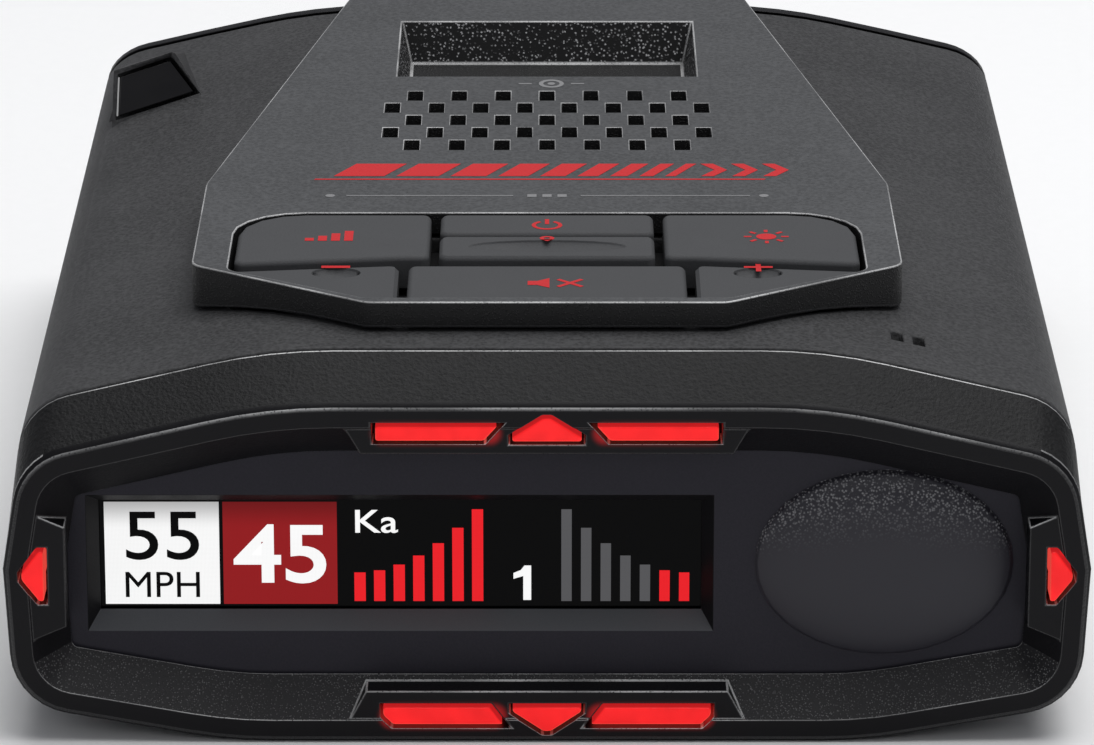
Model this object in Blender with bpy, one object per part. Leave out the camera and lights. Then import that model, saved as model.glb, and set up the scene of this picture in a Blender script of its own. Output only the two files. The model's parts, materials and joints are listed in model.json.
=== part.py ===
"""Radar detector for a car, resting on its flat underside.

Sizes are in millimetres. A point is (x, depth, z): x runs to the right as the driver faces
the display, depth runs back from the front of the bezel, and z runs up from the underside.
"""

import math

import bmesh
import bpy
from mathutils import Vector

MM = 0.001

# Body: the section is a flat crest, a long slope to the shoulder, a side and a flat sole.
BODY_WIDTH = 88.4
BODY_LENGTH = 132.0
BEZEL_HEIGHT = 29.1
BROW_RISE = 3.2
REAR_RISE = 4.3
PARTING_HEIGHT = 15.0
CREST_INBOARD = 21.7
SHOULDER_INBOARD = 1.6
SHOULDER_DROP = 4.7
CHINE_INBOARD = 0.6
CHINE_HEIGHT = 3.2
SOLE_INBOARD = 18.2
CREST_RADIUS = 45.0
SHOULDER_RADIUS = 5.5
CHINE_RADIUS = 5.5
SOLE_RADIUS = 40.0
WALL = 1.8
GAP = 0.3
SMALLEST_RADIUS = 0.5
ENVELOPE_OVERRUN = 12.0

# Rear end: it sweeps forward towards the top and the sides.
REAR_SWEEP = 22.0
REAR_SWEEP_POWER = 1.7
REAR_BOW = 7.0
FRAME_REACH = 2.6
FRAME_WIDTH = 1.8
FRAME_GROOVE_INSET = 1.0
FRAME_GROOVE = 0.5
FRAME_EDGE = 0.3
COVER_REACH = 2.5
COVER_SEAT = 0.6
COVER_COLUMNS = 10

# Front bezel
BROW_DEPTH = 5.0
BEZEL_EDGE = 0.35
BEZEL_RIM = 1.9
FUNNEL_INSET = 4.9
FUNNEL_DEPTH = 3.0
PAD_RECESS = 0.15
PAD_BACK = 2.85
PAD_TOP_HALF = 15.1
PAD_TOP_DROP = 4.2
PAD_BOTTOM_HALF = 14.8
PAD_BOTTOM_HEIGHT = 4.4
PAD_FLARE = 1.7
PAD_EMBED = 1.2
PAD_SIDE_INBOARD = 5.1
PAD_SIDE_HALF = 4.3
PAD_SIDE_HEIGHT = 14.3

# Alert lights: a head in the bezel and a thinner stem back to its lamp.
LIGHT_FRONT = 0.05
LIGHT_HEAD_BACK = 2.7
BAR_TOP_SPAN = (4.0, 13.85)
BAR_TOP_DROP = (3.05, 1.8)
BAR_BOTTOM_SPAN = (3.6, 13.4)
BAR_BOTTOM_HEIGHT = (1.5, 3.0)
BAR_SLANT = 1.1
BAR_CHAMFER = 0.8
BAR_STEM_INSET = 1.2
ARROW_HALF = 2.8
ARROW_TOP_DROP = (3.1, 1.1)
ARROW_BOTTOM_HEIGHT = (0.9, 3.0)
ARROW_SHOULDER = 0.4
ARROW_TIP_HALF = 0.3
ARROW_SIDE_INBOARD = (3.3, 1.5)
ARROW_SIDE_HALF = 2.15
ARROW_SIDE_HEIGHT = 14.4
STEM_HALF = 1.4
STEM_SIDE_HALF = 1.1
STEM_FLOOR = 2.2
STEM_SIDE_RUN = (1.4, 0.4)
STEM_TRIM = 0.2
LAMP_HALF = 0.7
LAMP_PROUD = 0.6

# Display and the panel around it
FASCIA_THICKNESS = 1.6
FASCIA_CLEARANCE = 0.3
DISPLAY_LEFT = -36.6
DISPLAY_RIGHT = 12.6
DISPLAY_BOTTOM = 9.9
DISPLAY_TOP = 19.3
DISPLAY_FLARE = 1.0
DISPLAY_SILL = 1.4
WINDOW_LAP = 0.6
WINDOW_THICKNESS = 1.0
MODULE_LAP = 1.0
MODULE_THICKNESS = 2.3
DOME_CENTRE = (27.5, 14.5)
DOME_RADII = (10.6, 8.0)
DOME_BULGE = 1.8
FRONT_BOARD_THICKNESS = 1.2
FRONT_BOARD_CLEARANCE = 0.5
FRONT_BOARD_RISE = 1.0

# Control panel on top of the case
PANEL_STAND = 1.5
PANEL_FRONT = 9.2
PANEL_FRONT_HALF = 14.8
PANEL_HALF = 29.6
PANEL_SIDE = (19.5, 43.0)
PANEL_REAR_HALF = 18.6
PANEL_OVERHANG = 2.2
PANEL_CORNER = 1.5
PANEL_DEPTH_BELOW = 6.0
GRILLE_FRONT = 55.0
GRILLE_ROWS = 5
GRILLE_PITCH = 4.0
GRILLE_MOST = 8
GRILLE_HOLE = (1.4, 3.2)
SPEAKER_DEPTH = 63.0
SPEAKER_OPENING_HALF = (15.8, 10.7)
MESH_THICKNESS = 0.4
MESH_DROP = 0.4
RECESS_HALF = 13.8
RECESS_DEPTHS = (77.6, 97.0)
RECESS_DROP = 4.0
RECESS_DRAFT = 0.85
TUB_WALL = 1.3

# Keys
WELL_FRONT = 10.5
WELL_FRONT_HALF = 15.0
WELL_HALF = 26.5
WELL_SHOULDER = 18.1
WELL_REAR = 34.3
WELL_RADIUS = 6.0
KEY_CLEARANCE = 0.4
KEY_GAP = 0.8
KEY_SPLIT = 21.35
KEY_SWEEP = 1.7
MUTE_HALF = 11.95
CENTRE_HALF = 9.45
CENTRE_SPLIT = 28.0
KEY_CORNER = 0.7
KEY_EDGE = 0.3
KEY_LOWER_DROP = 0.5
KEY_FLOOR_DROP = 2.9
VOLUME_DIMPLE = (2.1, 1.5, 0.8)
VOLUME_DIMPLE_SET_BACK = 1.2
MARK_DIMPLE = (6.8, 1.8, 0.8)
DIMPLE_LIFT = 0.07
STEM_RADIUS = 1.2
STEM_DROP = 4.8
PLUNGER_RADIUS = 0.8
PLUNGER_LENGTH = 1.1
SWITCH_HALF = 2.25
SWITCH_HEIGHT = 1.2
SWITCH_BORE = 1.1
BORE_BELOW_BOARD_TOP = 0.3
MAT_DROP = 3.5
MAT_THICKNESS = 0.8
MAT_SKIRT = 0.9
MAT_HOLE = 1.6
KEY_BOARD_DROP = 6.7
KEY_BOARD_THICKNESS = 1.0
KEY_BOARD_HALF = 27.0
KEY_BOARD_FROM_FRONT_BOARD = 0.5
KEY_BOARD_PAST_WELL = 1.3

# Microphone slots
MIC_PLACE = (29.7, 12.7)
MIC_SLOT = (0.95, 2.3)
MIC_SLOT_SPACING = 1.8
MIC_RADIUS = 2.0
MIC_THICKNESS = 1.6

# Laser hump on the left rear of the case: four corners of its window, as (x, depth, height
# above the roof), and the line where its top runs into the roof.
HUMP_BASE_LEFT = (-40.6, 82.2)
HUMP_BASE_RIGHT = (-31.9, 85.5)
HUMP_TOP_LEFT = (-40.4, 83.9)
HUMP_TOP_RIGHT = (-34.9, 86.0)
HUMP_HEIGHT = 4.7
HUMP_END_DEPTH = 104.0
HUMP_BURIED = 0.9
HUMP_LIP = 0.4
HUMP_SILL = 0.25
HUMP_POCKET = 3.4
HUMP_RECESS = 0.45
HUMP_WINDOW = 1.0

# Screws that join the two halves of the case
POST_INBOARD = 7.7
POST_FRONT = 15.0
POST_REAR_FROM_END = 34.0
POST_RADIUS = 2.3
POST_BORE = 1.3
POST_BORE_TOP = 14.0
BOSS_RADIUS = 3.6
SCREW_HEAD_RADIUS = 2.2
SCREW_HEAD_BOTTOM = 2.2
SCREW_SEAT = 3.6
SCREW_RADIUS = 1.0
SCREW_TOP = 12.0
SCREW_CLEARANCE = 0.4

# Main board and what stands on it
BOARD_BOTTOM = 5.5
BOARD_THICKNESS = 1.6
BOARD_INBOARD = 4.4
BOARD_FRONT = 12.5
BOARD_FROM_END = 16.0
SHIELD = ((-30.0, 0.0), (60.0, 84.0), 3.6)
GPS = ((14.0, 30.0), (62.0, 78.0), 4.0)
BLUETOOTH = ((10.0, 22.0), (44.0, 56.0), 2.2)

# Sockets in the sides
JACK_CLEARANCE = 0.6
POWER_DEPTHS = (24.0, 37.0)
POWER_LENGTH = 14.8
POWER_HEIGHT = 11.5
POWER_SOCKET = (9.8, 6.8, 12.0)
POWER_HOLE_MARGIN = 0.6
USB_DEPTHS = (22.0, 30.0)
USB_LENGTH = 8.8
USB_HEIGHT = 2.8
USB_SOCKET = (6.8, 1.6, 6.0)
USB_HOLE_MARGIN = 0.4
AUDIO_DEPTHS = (36.0, 43.0)
AUDIO_LENGTH = 12.8
AUDIO_HEIGHT = 6.0
AUDIO_BORE = 1.75
AUDIO_HOLE = 2.8
AUDIO_REACH = 11.0

# Radar horns and the laser receiver that looks forward down the road
HORN_WALL = 1.0
FRONT_HORN_THROAT = ((8.0, 20.0), (9.4, 15.0))
FRONT_HORN_MOUTH = ((-2.0, 30.0), 22.0)
FRONT_HORN_FROM_END = (42.0, 11.0, 20.0)
REAR_HORN_THROAT = ((23.0, 29.3), (10.0, 15.0))
REAR_HORN_MOUTH = ((18.5, 33.8), 21.6)
REAR_HORN_END = 30.0
ROAD_LASER_CENTRE = (-24.0, 16.0)
ROAD_LASER_HALF = (6.0, 4.0)
ROAD_LASER_RECESS = 0.6
ROAD_LASER_THICKNESS = 1.6
ROAD_SENSOR_HALF = 4.0
ROAD_SENSOR_FROM_END = (24.0, 16.0)

# Speaker and the magnets that hold the windscreen mount
SPEAKER_RADIUS = 12.8
SPEAKER_RIM = 1.2
SPEAKER_BASKET = 4.0
CONE_RADIUS = 11.0
CONE_DROP = 2.0
MAGNET_RADIUS = 7.0
MAGNET_HEIGHT = 3.6
MOUNT_MAGNET_RADIUS = 4.0
MOUNT_MAGNET_HEIGHT = 2.7
MOUNT_MAGNET_HALF_SPACING = 7.0

# Blank rating plate in the underside
LABEL_HALF = 21.5
LABEL_DEPTHS = (40.0, 90.0)
LABEL_THICKNESS = 0.3
LABEL_LIFT = 0.1

# Worked out from the sizes above
HALF_WIDTH = BODY_WIDTH / 2
FRONT_Y = -BODY_LENGTH / 2
REAR_SEAM = BODY_LENGTH - FRAME_REACH
REAR_TOP = BEZEL_HEIGHT + REAR_RISE
REAR_CREST_DEPTH = REAR_SEAM - REAR_SWEEP
CREST_HALF = HALF_WIDTH - CREST_INBOARD
SHOULDER_HALF = HALF_WIDTH - SHOULDER_INBOARD
CASE_FRONT = BROW_DEPTH + GAP
PANEL_TOP = REAR_TOP + PANEL_STAND
BOARD_TOP = BOARD_BOTTOM + BOARD_THICKNESS
PART_FLOOR = BOARD_TOP + GAP
POST_HALF = HALF_WIDTH - POST_INBOARD
POST_REAR = BODY_LENGTH - POST_REAR_FROM_END
FASCIA_FRONT = FUNNEL_DEPTH + GAP
FASCIA_BACK = FASCIA_FRONT + FASCIA_THICKNESS
WINDOW_FRONT = FASCIA_BACK + GAP
MODULE_FRONT = WINDOW_FRONT + WINDOW_THICKNESS + GAP
FRONT_BOARD_FRONT = MODULE_FRONT + MODULE_THICKNESS + GAP
FRONT_BOARD_BACK = FRONT_BOARD_FRONT + FRONT_BOARD_THICKNESS
KEY_BOARD_FRONT = FRONT_BOARD_BACK + KEY_BOARD_FROM_FRONT_BOARD
LIGHT_BACK = FRONT_BOARD_FRONT - LAMP_PROUD - GAP
TUB_BOTTOM = PANEL_TOP - RECESS_DROP - TUB_WALL
JACK_FACE = HALF_WIDTH - WALL - JACK_CLEARANCE

# Colour, roughness and metallic value of each finish
FINISHES = {
    "soft_black": ((0.062, 0.062, 0.066), 0.62, 0.0),
    "panel_grey": ((0.098, 0.100, 0.104), 0.60, 0.0),
    "key_rubber": ((0.080, 0.081, 0.084), 0.70, 0.0),
    "bezel_black": ((0.020, 0.020, 0.023), 0.35, 0.0),
    "gloss_black": ((0.004, 0.004, 0.005), 0.06, 0.0),
    "light_red": ((0.850, 0.020, 0.015), 0.25, 0.0),
    "smoked": ((0.012, 0.010, 0.012), 0.10, 0.0),
    "board_green": ((0.020, 0.110, 0.050), 0.50, 0.0),
    "tin": ((0.560, 0.560, 0.540), 0.30, 1.0),
    "zinc": ((0.420, 0.420, 0.410), 0.32, 1.0),
    "screw_black": ((0.050, 0.050, 0.052), 0.35, 1.0),
    "paper_cone": ((0.030, 0.030, 0.032), 0.85, 0.0),
    "ceramic": ((0.620, 0.560, 0.430), 0.45, 0.0),
    "label_grey": ((0.260, 0.260, 0.265), 0.50, 0.0),
    "port_black": ((0.012, 0.012, 0.013), 0.40, 0.0),
}


# ---- outlines ----------------------------------------------------------------------------

def offset_line(points, inset):
    """Open outline moved to the right of its direction, with mitred corners."""
    normals = []
    for (x0, z0), (x1, z1) in zip(points, points[1:]):
        length = math.hypot(x1 - x0, z1 - z0)
        normals.append(Vector(((z1 - z0) / length, (x0 - x1) / length)))
    moved = [Vector(points[0]) + normals[0] * inset]
    for point, before, after in zip(points[1:-1], normals, normals[1:]):
        moved.append(Vector(point) + (before + after) * (inset / (1 + before.dot(after))))
    moved.append(Vector(points[-1]) + normals[-1] * inset)
    return [tuple(point) for point in moved]


def offset_loop(points, inset):
    """Closed outline moved inwards, whichever way round it runs."""
    ends = zip(points, points[1:] + points[:1])
    area = sum(x0 * z1 - x1 * z0 for (x0, z0), (x1, z1) in ends)
    side = -inset if area > 0 else inset
    wrapped = points[-1:] + points + points[:1]
    return offset_line(wrapped, side)[1:-1]


def arc_corner(before, corner, after, radius, segments):
    """Points of the arc that rounds one corner."""
    into = (Vector(corner) - Vector(before)).normalized()
    out = (Vector(after) - Vector(corner)).normalized()
    turn = into.angle(out)
    if radius <= 0 or turn < 1e-4:
        return [tuple(corner)]
    reach = radius * math.tan(turn / 2)
    centre = Vector(corner) + (out - into).normalized() * (radius / math.cos(turn / 2))
    first = Vector(corner) - into * reach - centre
    last = Vector(corner) + out * reach - centre
    points = []
    for step in range(segments + 1):
        share = step / segments
        spoke = first * math.sin((1 - share) * turn) + last * math.sin(share * turn)
        points.append(tuple(centre + spoke / math.sin(turn)))
    return points


def rounded_line(points, radii, segments, cuts):
    """Open outline with rounded inner corners and evenly cut straights."""
    corners = [[tuple(points[0])]]
    for index, (radius, count) in enumerate(zip(radii, segments), start=1):
        corners.append(arc_corner(*points[index - 1:index + 2], radius, count))
    corners.append([tuple(points[-1])])
    line = list(corners[0])
    for arc, count in zip(corners[1:], cuts):
        start = Vector(line[-1])
        run = Vector(arc[0]) - start
        line += [tuple(start + run * (step / (count + 1))) for step in range(1, count + 1)]
        line += arc
    return line


def rounded_loop(points, radii, segments=5):
    """Closed outline with rounded corners."""
    loop = []
    for index, radius in enumerate(radii):
        after = points[(index + 1) % len(points)]
        loop += arc_corner(points[index - 1], points[index], after, radius, segments)
    return loop


def both_sides(half):
    """Whole outline from the right half, which starts and may end on the centre line."""
    left = [(-x, other) for x, other in reversed(half) if abs(x) > 1e-9]
    return list(half) + left


def circle(x, other, radius, sides):
    """Regular outline around a centre."""
    turns = [2 * math.pi * step / sides for step in range(sides)]
    return [(x + radius * math.cos(a), other + radius * math.sin(a)) for a in turns]


def rectangle(x_span, other_span):
    """Outline of a box's face."""
    (x0, x1), (y0, y1) = x_span, other_span
    return [(x0, y0), (x1, y0), (x1, y1), (x0, y1)]


# ---- the body's section ------------------------------------------------------------------

def case_rise(depth):
    """Height of the crest above the bezel's, at a depth."""
    if depth <= BROW_DEPTH:
        return BROW_RISE * depth / BROW_DEPTH
    share = (depth - BROW_DEPTH) / (REAR_CREST_DEPTH - BROW_DEPTH)
    return BROW_RISE + (REAR_RISE - BROW_RISE) * share


def rear_depth(x, z):
    """Depth of the rear end of the case halves."""
    height = (z - FRAME_WIDTH) / (REAR_TOP - FRAME_WIDTH)
    sweep = REAR_SWEEP * max(height, 0.0) ** REAR_SWEEP_POWER
    return REAR_SEAM - sweep - REAR_BOW * (x / HALF_WIDTH) ** 2


def roof_height(x, depth):
    """Top surface of the case on its long side slopes."""
    slope = SHOULDER_DROP / (SHOULDER_HALF - CREST_HALF)
    return BEZEL_HEIGHT + case_rise(depth) - slope * max(abs(x) - CREST_HALF, 0.0)


def half_corners(rise, inset):
    """Corners of the section's right half, from the top centre to the bottom centre."""
    top = BEZEL_HEIGHT + rise
    corners = [
        (0.0, top),
        (CREST_HALF, top),
        (SHOULDER_HALF, top - SHOULDER_DROP),
        (HALF_WIDTH, PARTING_HEIGHT),
        (HALF_WIDTH - CHINE_INBOARD, CHINE_HEIGHT),
        (HALF_WIDTH - SOLE_INBOARD, 0.0),
        (0.0, 0.0),
    ]
    return offset_line(corners, inset)


def on_line(a, b, height):
    """Point at a height on the line through two points."""
    share = (height - a[1]) / (b[1] - a[1])
    return (a[0] + (b[0] - a[0]) * share, height)


def fillet(radius, inset):
    """Radius of a rounded edge after its outline moves inwards."""
    return max(radius - inset, SMALLEST_RADIUS)


def upper_half(rise, inset, split):
    """Right half of the upper section, from the top centre down to the parting line."""
    corners = half_corners(rise, inset)
    end = on_line(corners[2], corners[3], PARTING_HEIGHT + GAP / 2) if split else corners[3]
    radii = [fillet(CREST_RADIUS, inset), fillet(SHOULDER_RADIUS, inset)]
    return rounded_line(corners[:3] + [end], radii, (4, 7), (3, 1, 1))


def lower_half(inset, split):
    """Right half of the lower section, from the parting line to the bottom centre."""
    corners = half_corners(0.0, inset)
    start = on_line(corners[3], corners[4], PARTING_HEIGHT - GAP / 2) if split else corners[3]
    radii = [fillet(CHINE_RADIUS, inset), fillet(SOLE_RADIUS, inset)]
    return rounded_line([start] + corners[4:], radii, (7, 3), (1, 1, 3))


def whole_section(rise, inset):
    """Closed section of both halves."""
    return both_sides(upper_half(rise, inset, False) + lower_half(inset, False)[1:])


def section_at(depth, inset, rise):
    """Closed section as points in space."""
    return [(x, depth, z) for x, z in whole_section(rise, inset)]


def section_behind(offset, inset):
    """Closed section laid on the rear end, a distance behind the case halves."""
    section = whole_section(REAR_RISE, inset)
    return [(x, rear_depth(x, z) + offset, z) for x, z in section]


# ---- shapes: (points, faces) -------------------------------------------------------------

def skin(rows, wrap_rows=False, wrap_columns=True):
    """Faces between neighbouring rows of points."""
    width = len(rows[0])
    count = len(rows)
    faces = []
    for row in range(count if wrap_rows else count - 1):
        for column in range(width if wrap_columns else width - 1):
            near = row * width
            far = (row + 1) % count * width
            following = (column + 1) % width
            faces.append((near + column, near + following, far + following, far + column))
    return [point for row in rows for point in row], faces


def loft(rows):
    """Solid through closed rows, capped at both ends."""
    points, faces = skin(rows)
    width = len(rows[0])
    last = len(points) - width
    return points, faces + [tuple(range(width)), tuple(range(last, last + width))]


def ring(rows):
    """Solid ring through closed rows, the last joined to the first."""
    return skin(rows, wrap_rows=True)


def channel(stations):
    """Open shell through stations of (outer line, inner line)."""
    rows = [list(outer) + list(reversed(inner)) for outer, inner in stations]
    points, faces = skin(rows)
    width = len(rows[0])
    for base in (0, len(points) - width):
        for step in range(width // 2 - 1):
            back = base + width - 1 - step
            faces.append((base + step, base + step + 1, back - 1, back))
    return points, faces


def plate(near, far):
    """Solid between two grids of points of the same size."""
    height = len(near)
    width = len(near[0])
    points, faces = skin(near, wrap_columns=False)
    behind = [[offset + len(points) for offset in face] for face in faces]
    rim = list(range(width))
    rim += [row * width + width - 1 for row in range(1, height)]
    rim += [(height - 1) * width + column for column in range(width - 2, -1, -1)]
    rim += [row * width for row in range(height - 2, 0, -1)]
    count = len(points)
    for here, there in zip(rim, rim[1:] + rim[:1]):
        behind.append([here, there, there + count, here + count])
    return points + [point for row in far for point in row], faces + behind


def upright(outline, bottom, top):
    """Solid of an (x, depth) outline between two heights."""
    return loft([[(x, depth, z) for x, depth in outline] for z in (bottom, top)])


def lying(outline, front, back):
    """Solid of an (x, z) outline between two depths."""
    return loft([[(x, depth, z) for x, z in outline] for depth in (front, back)])


def box(x_span, depth_span, z_span):
    """Plain block."""
    return upright(rectangle(x_span, depth_span), *z_span)


def rod(x, depth, radius, bottom, top, sides=16):
    """Upright cylinder."""
    return upright(circle(x, depth, radius, sides), bottom, top)


def turned(x, depth, profile, sides, hollow=False):
    """Solid turned about an upright axis; its profile is (radius, z)."""
    rows = [[(a, b, z) for a, b in circle(x, depth, radius, sides)] for radius, z in profile]
    return ring(rows) if hollow else loft(rows)


def bowl(x, depth, z, radii, sides=20, levels=5):
    """Closed ellipsoid."""
    rows = []
    for level in range(1, 2 * levels):
        tilt = math.pi * level / (2 * levels)
        width = math.sin(tilt)
        oval = circle(0, 0, width, sides)
        height = z + radii[2] * math.cos(tilt)
        rows.append([(x + radii[0] * a, depth + radii[1] * b, height) for a, b in oval])
    return loft(rows)


def together(shapes):
    """Several separate shapes as one."""
    points = []
    faces = []
    for more_points, more_faces in shapes:
        faces += [tuple(index + len(points) for index in face) for face in more_faces]
        points += more_points
    return points, faces


# ---- objects -----------------------------------------------------------------------------

def outward(mesh):
    """Turn every face of a closed mesh outwards."""
    work = bmesh.new()
    work.from_mesh(mesh)
    bmesh.ops.remove_doubles(work, verts=work.verts, dist=0.000002)
    bmesh.ops.recalc_face_normals(work, faces=work.faces)
    work.to_mesh(mesh)
    work.free()


def scratch(shape):
    """Object of one shape, in metres."""
    points, faces = shape
    mesh = bpy.data.meshes.new("scratch")
    places = [(x * MM, (depth + FRONT_Y) * MM, z * MM) for x, depth, z in points]
    mesh.from_pydata(places, [], faces)
    outward(mesh)
    item = bpy.data.objects.new("scratch", mesh)
    bpy.context.collection.objects.link(item)
    return item


def combine(item, shapes, operation):
    """Join each shape to an object, or cut each from it."""
    for shape in shapes:
        tool = scratch(shape)
        modifier = item.modifiers.new("combine", "BOOLEAN")
        modifier.operation = operation
        modifier.solver = "EXACT"
        modifier.object = tool
        graph = bpy.context.evaluated_depsgraph_get()
        item.data = bpy.data.meshes.new_from_object(item.evaluated_get(graph))
        item.modifiers.clear()
        bpy.data.objects.remove(tool)


def material(name, finish):
    """A piece's own material in one of the finishes."""
    colour, roughness, metallic = FINISHES[finish]
    result = bpy.data.materials.new(name)
    result.use_nodes = True
    shader = result.node_tree.nodes["Principled BSDF"]
    shader.inputs["Base Color"].default_value = (*colour, 1.0)
    shader.inputs["Roughness"].default_value = roughness
    shader.inputs["Metallic"].default_value = metallic
    return result


def piece(name, finish, shape, join=(), cut=(), origin=(0.0, -FRONT_Y, 0.0)):
    """One named solid: a shape, what is joined to it, then what is cut from it."""
    item = scratch(shape)
    combine(item, join, "UNION")
    combine(item, cut, "DIFFERENCE")
    outward(item.data)
    place = Vector((origin[0] * MM, (origin[1] + FRONT_Y) * MM, origin[2] * MM))
    for vertex in item.data.vertices:
        vertex.co -= place
    item.location = place
    item.name = name
    item.data.name = name
    item.data.materials.clear()
    item.data.materials.append(material(name, finish))
    item.data.shade_smooth()
    item.data.set_sharp_from_angle(angle=math.radians(30))
    return item


# ---- alert lights ------------------------------------------------------------------------

def mirrored(outline):
    """Outline on the other side of the centre line."""
    return [(-x, z) for x, z in reversed(outline)]


def light_heads():
    """Outline of each light's head as the driver sees it, by name."""
    low, high = (BEZEL_HEIGHT - drop for drop in BAR_TOP_DROP)
    inner, outer = BAR_TOP_SPAN
    top_bar = [(inner, high), (outer, high), (outer, low), (inner + BAR_SLANT, low)]
    foot, crown = BAR_BOTTOM_HEIGHT
    inner, outer = BAR_BOTTOM_SPAN
    chamfer = (outer, foot + BAR_CHAMFER)
    bottom_bar = [(inner + BAR_SLANT, crown), (outer, crown), chamfer]
    bottom_bar += [(outer - BAR_CHAMFER, foot), (inner, foot)]
    base, tip = (BEZEL_HEIGHT - drop for drop in ARROW_TOP_DROP)
    half_arrow = [(ARROW_TIP_HALF, tip), (ARROW_HALF, base + ARROW_SHOULDER), (ARROW_HALF, base)]
    tip, base = ARROW_BOTTOM_HEIGHT
    half_down = [(ARROW_HALF, base), (ARROW_HALF, base - ARROW_SHOULDER), (ARROW_TIP_HALF, tip)]
    inner, outer = (HALF_WIDTH - inboard for inboard in ARROW_SIDE_INBOARD)
    side_arrow = [
        (inner, ARROW_SIDE_HEIGHT + ARROW_SIDE_HALF),
        (inner + ARROW_SHOULDER, ARROW_SIDE_HEIGHT + ARROW_SIDE_HALF),
        (outer, ARROW_SIDE_HEIGHT + ARROW_TIP_HALF),
        (outer, ARROW_SIDE_HEIGHT - ARROW_TIP_HALF),
        (inner + ARROW_SHOULDER, ARROW_SIDE_HEIGHT - ARROW_SIDE_HALF),
        (inner, ARROW_SIDE_HEIGHT - ARROW_SIDE_HALF),
    ]
    return {
        "light_top_right": top_bar,
        "light_top_left": mirrored(top_bar),
        "light_top_arrow": half_arrow + mirrored(half_arrow),
        "light_bottom_right": bottom_bar,
        "light_bottom_left": mirrored(bottom_bar),
        "light_bottom_arrow": half_down + mirrored(half_down),
        "light_side_right": side_arrow,
        "light_side_left": mirrored(side_arrow),
    }


def light_stems():
    """Outline of each light's stem, inside its head."""
    low, high = (BEZEL_HEIGHT - drop for drop in BAR_TOP_DROP)
    upper = (low + STEM_TRIM, high - STEM_TRIM)
    lower = (STEM_FLOOR, BAR_BOTTOM_HEIGHT[1] - STEM_TRIM)
    top_run = (BAR_TOP_SPAN[0] + BAR_STEM_INSET, BAR_TOP_SPAN[1] - BAR_STEM_INSET)
    bottom_run = (BAR_BOTTOM_SPAN[0] + BAR_STEM_INSET, BAR_BOTTOM_SPAN[1] - BAR_STEM_INSET)
    centre_run = (-STEM_HALF, STEM_HALF)
    side_run = tuple(HALF_WIDTH - WALL - way for way in STEM_SIDE_RUN)
    side_heights = (ARROW_SIDE_HEIGHT - STEM_SIDE_HALF, ARROW_SIDE_HEIGHT + STEM_SIDE_HALF)
    arrow_heights = (upper[0], upper[1] - STEM_TRIM)
    return {
        "light_top_right": rectangle(top_run, upper),
        "light_top_left": mirrored(rectangle(top_run, upper)),
        "light_top_arrow": rectangle(centre_run, arrow_heights),
        "light_bottom_right": rectangle(bottom_run, lower),
        "light_bottom_left": mirrored(rectangle(bottom_run, lower)),
        "light_bottom_arrow": rectangle(centre_run, lower),
        "light_side_right": rectangle(side_run, side_heights),
        "light_side_left": mirrored(rectangle(side_run, side_heights)),
    }


def make_lights():
    """Eight light pipes."""
    stems = light_stems()
    for name, head in light_heads().items():
        stem = lying(stems[name], LIGHT_HEAD_BACK - GAP, LIGHT_BACK)
        piece(name, "light_red", lying(head, LIGHT_FRONT, LIGHT_HEAD_BACK), join=[stem])


# ---- front -------------------------------------------------------------------------------

def make_bezel():
    """Front bezel: a rim, a funnel down to the fascia, pads for the lights and a flange."""
    rows = [
        section_at(0.0, BEZEL_EDGE, 0.0),
        section_at(BEZEL_EDGE, 0.0, case_rise(BEZEL_EDGE)),
        section_at(BROW_DEPTH, 0.0, BROW_RISE),
        section_at(BROW_DEPTH, WALL, BROW_RISE),
        section_at(FUNNEL_DEPTH, WALL, case_rise(FUNNEL_DEPTH)),
        section_at(FUNNEL_DEPTH, FUNNEL_INSET, 0.0),
        section_at(0.0, BEZEL_RIM, 0.0),
    ]
    top = BEZEL_HEIGHT - PAD_EMBED
    top_pad = [(PAD_TOP_HALF + PAD_FLARE, top), (PAD_TOP_HALF, BEZEL_HEIGHT - PAD_TOP_DROP)]
    bottom_pad = [(PAD_BOTTOM_HALF, PAD_BOTTOM_HEIGHT), (PAD_BOTTOM_HALF + PAD_FLARE, PAD_EMBED)]
    inner = HALF_WIDTH - PAD_SIDE_INBOARD
    outer = HALF_WIDTH - PAD_EMBED
    side_pad = [
        (inner, PAD_SIDE_HEIGHT + PAD_SIDE_HALF),
        (outer, PAD_SIDE_HEIGHT + PAD_SIDE_HALF + PAD_FLARE),
        (outer, PAD_SIDE_HEIGHT - PAD_SIDE_HALF - PAD_FLARE),
        (inner, PAD_SIDE_HEIGHT - PAD_SIDE_HALF),
    ]
    pads = [both_sides(top_pad), both_sides(bottom_pad), side_pad, mirrored(side_pad)]
    holes = [offset_loop(head, -GAP) for head in light_heads().values()]
    piece(
        "front_bezel",
        "bezel_black",
        ring(rows),
        join=[lying(pad, PAD_RECESS, PAD_BACK) for pad in pads],
        cut=[lying(hole, -1.0, FUNNEL_DEPTH + 0.1) for hole in holes],
    )


def display_frame(depth):
    """Opening of the fascia around the display, at a depth in its flared edge."""
    share = (FASCIA_BACK - depth) / FASCIA_THICKNESS
    flare = DISPLAY_FLARE * share
    x_span = (DISPLAY_LEFT - flare, DISPLAY_RIGHT + flare)
    z_span = (DISPLAY_BOTTOM - DISPLAY_SILL * share, DISPLAY_TOP + flare)
    return [(x, depth, z) for x, z in rectangle(x_span, z_span)]


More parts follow.
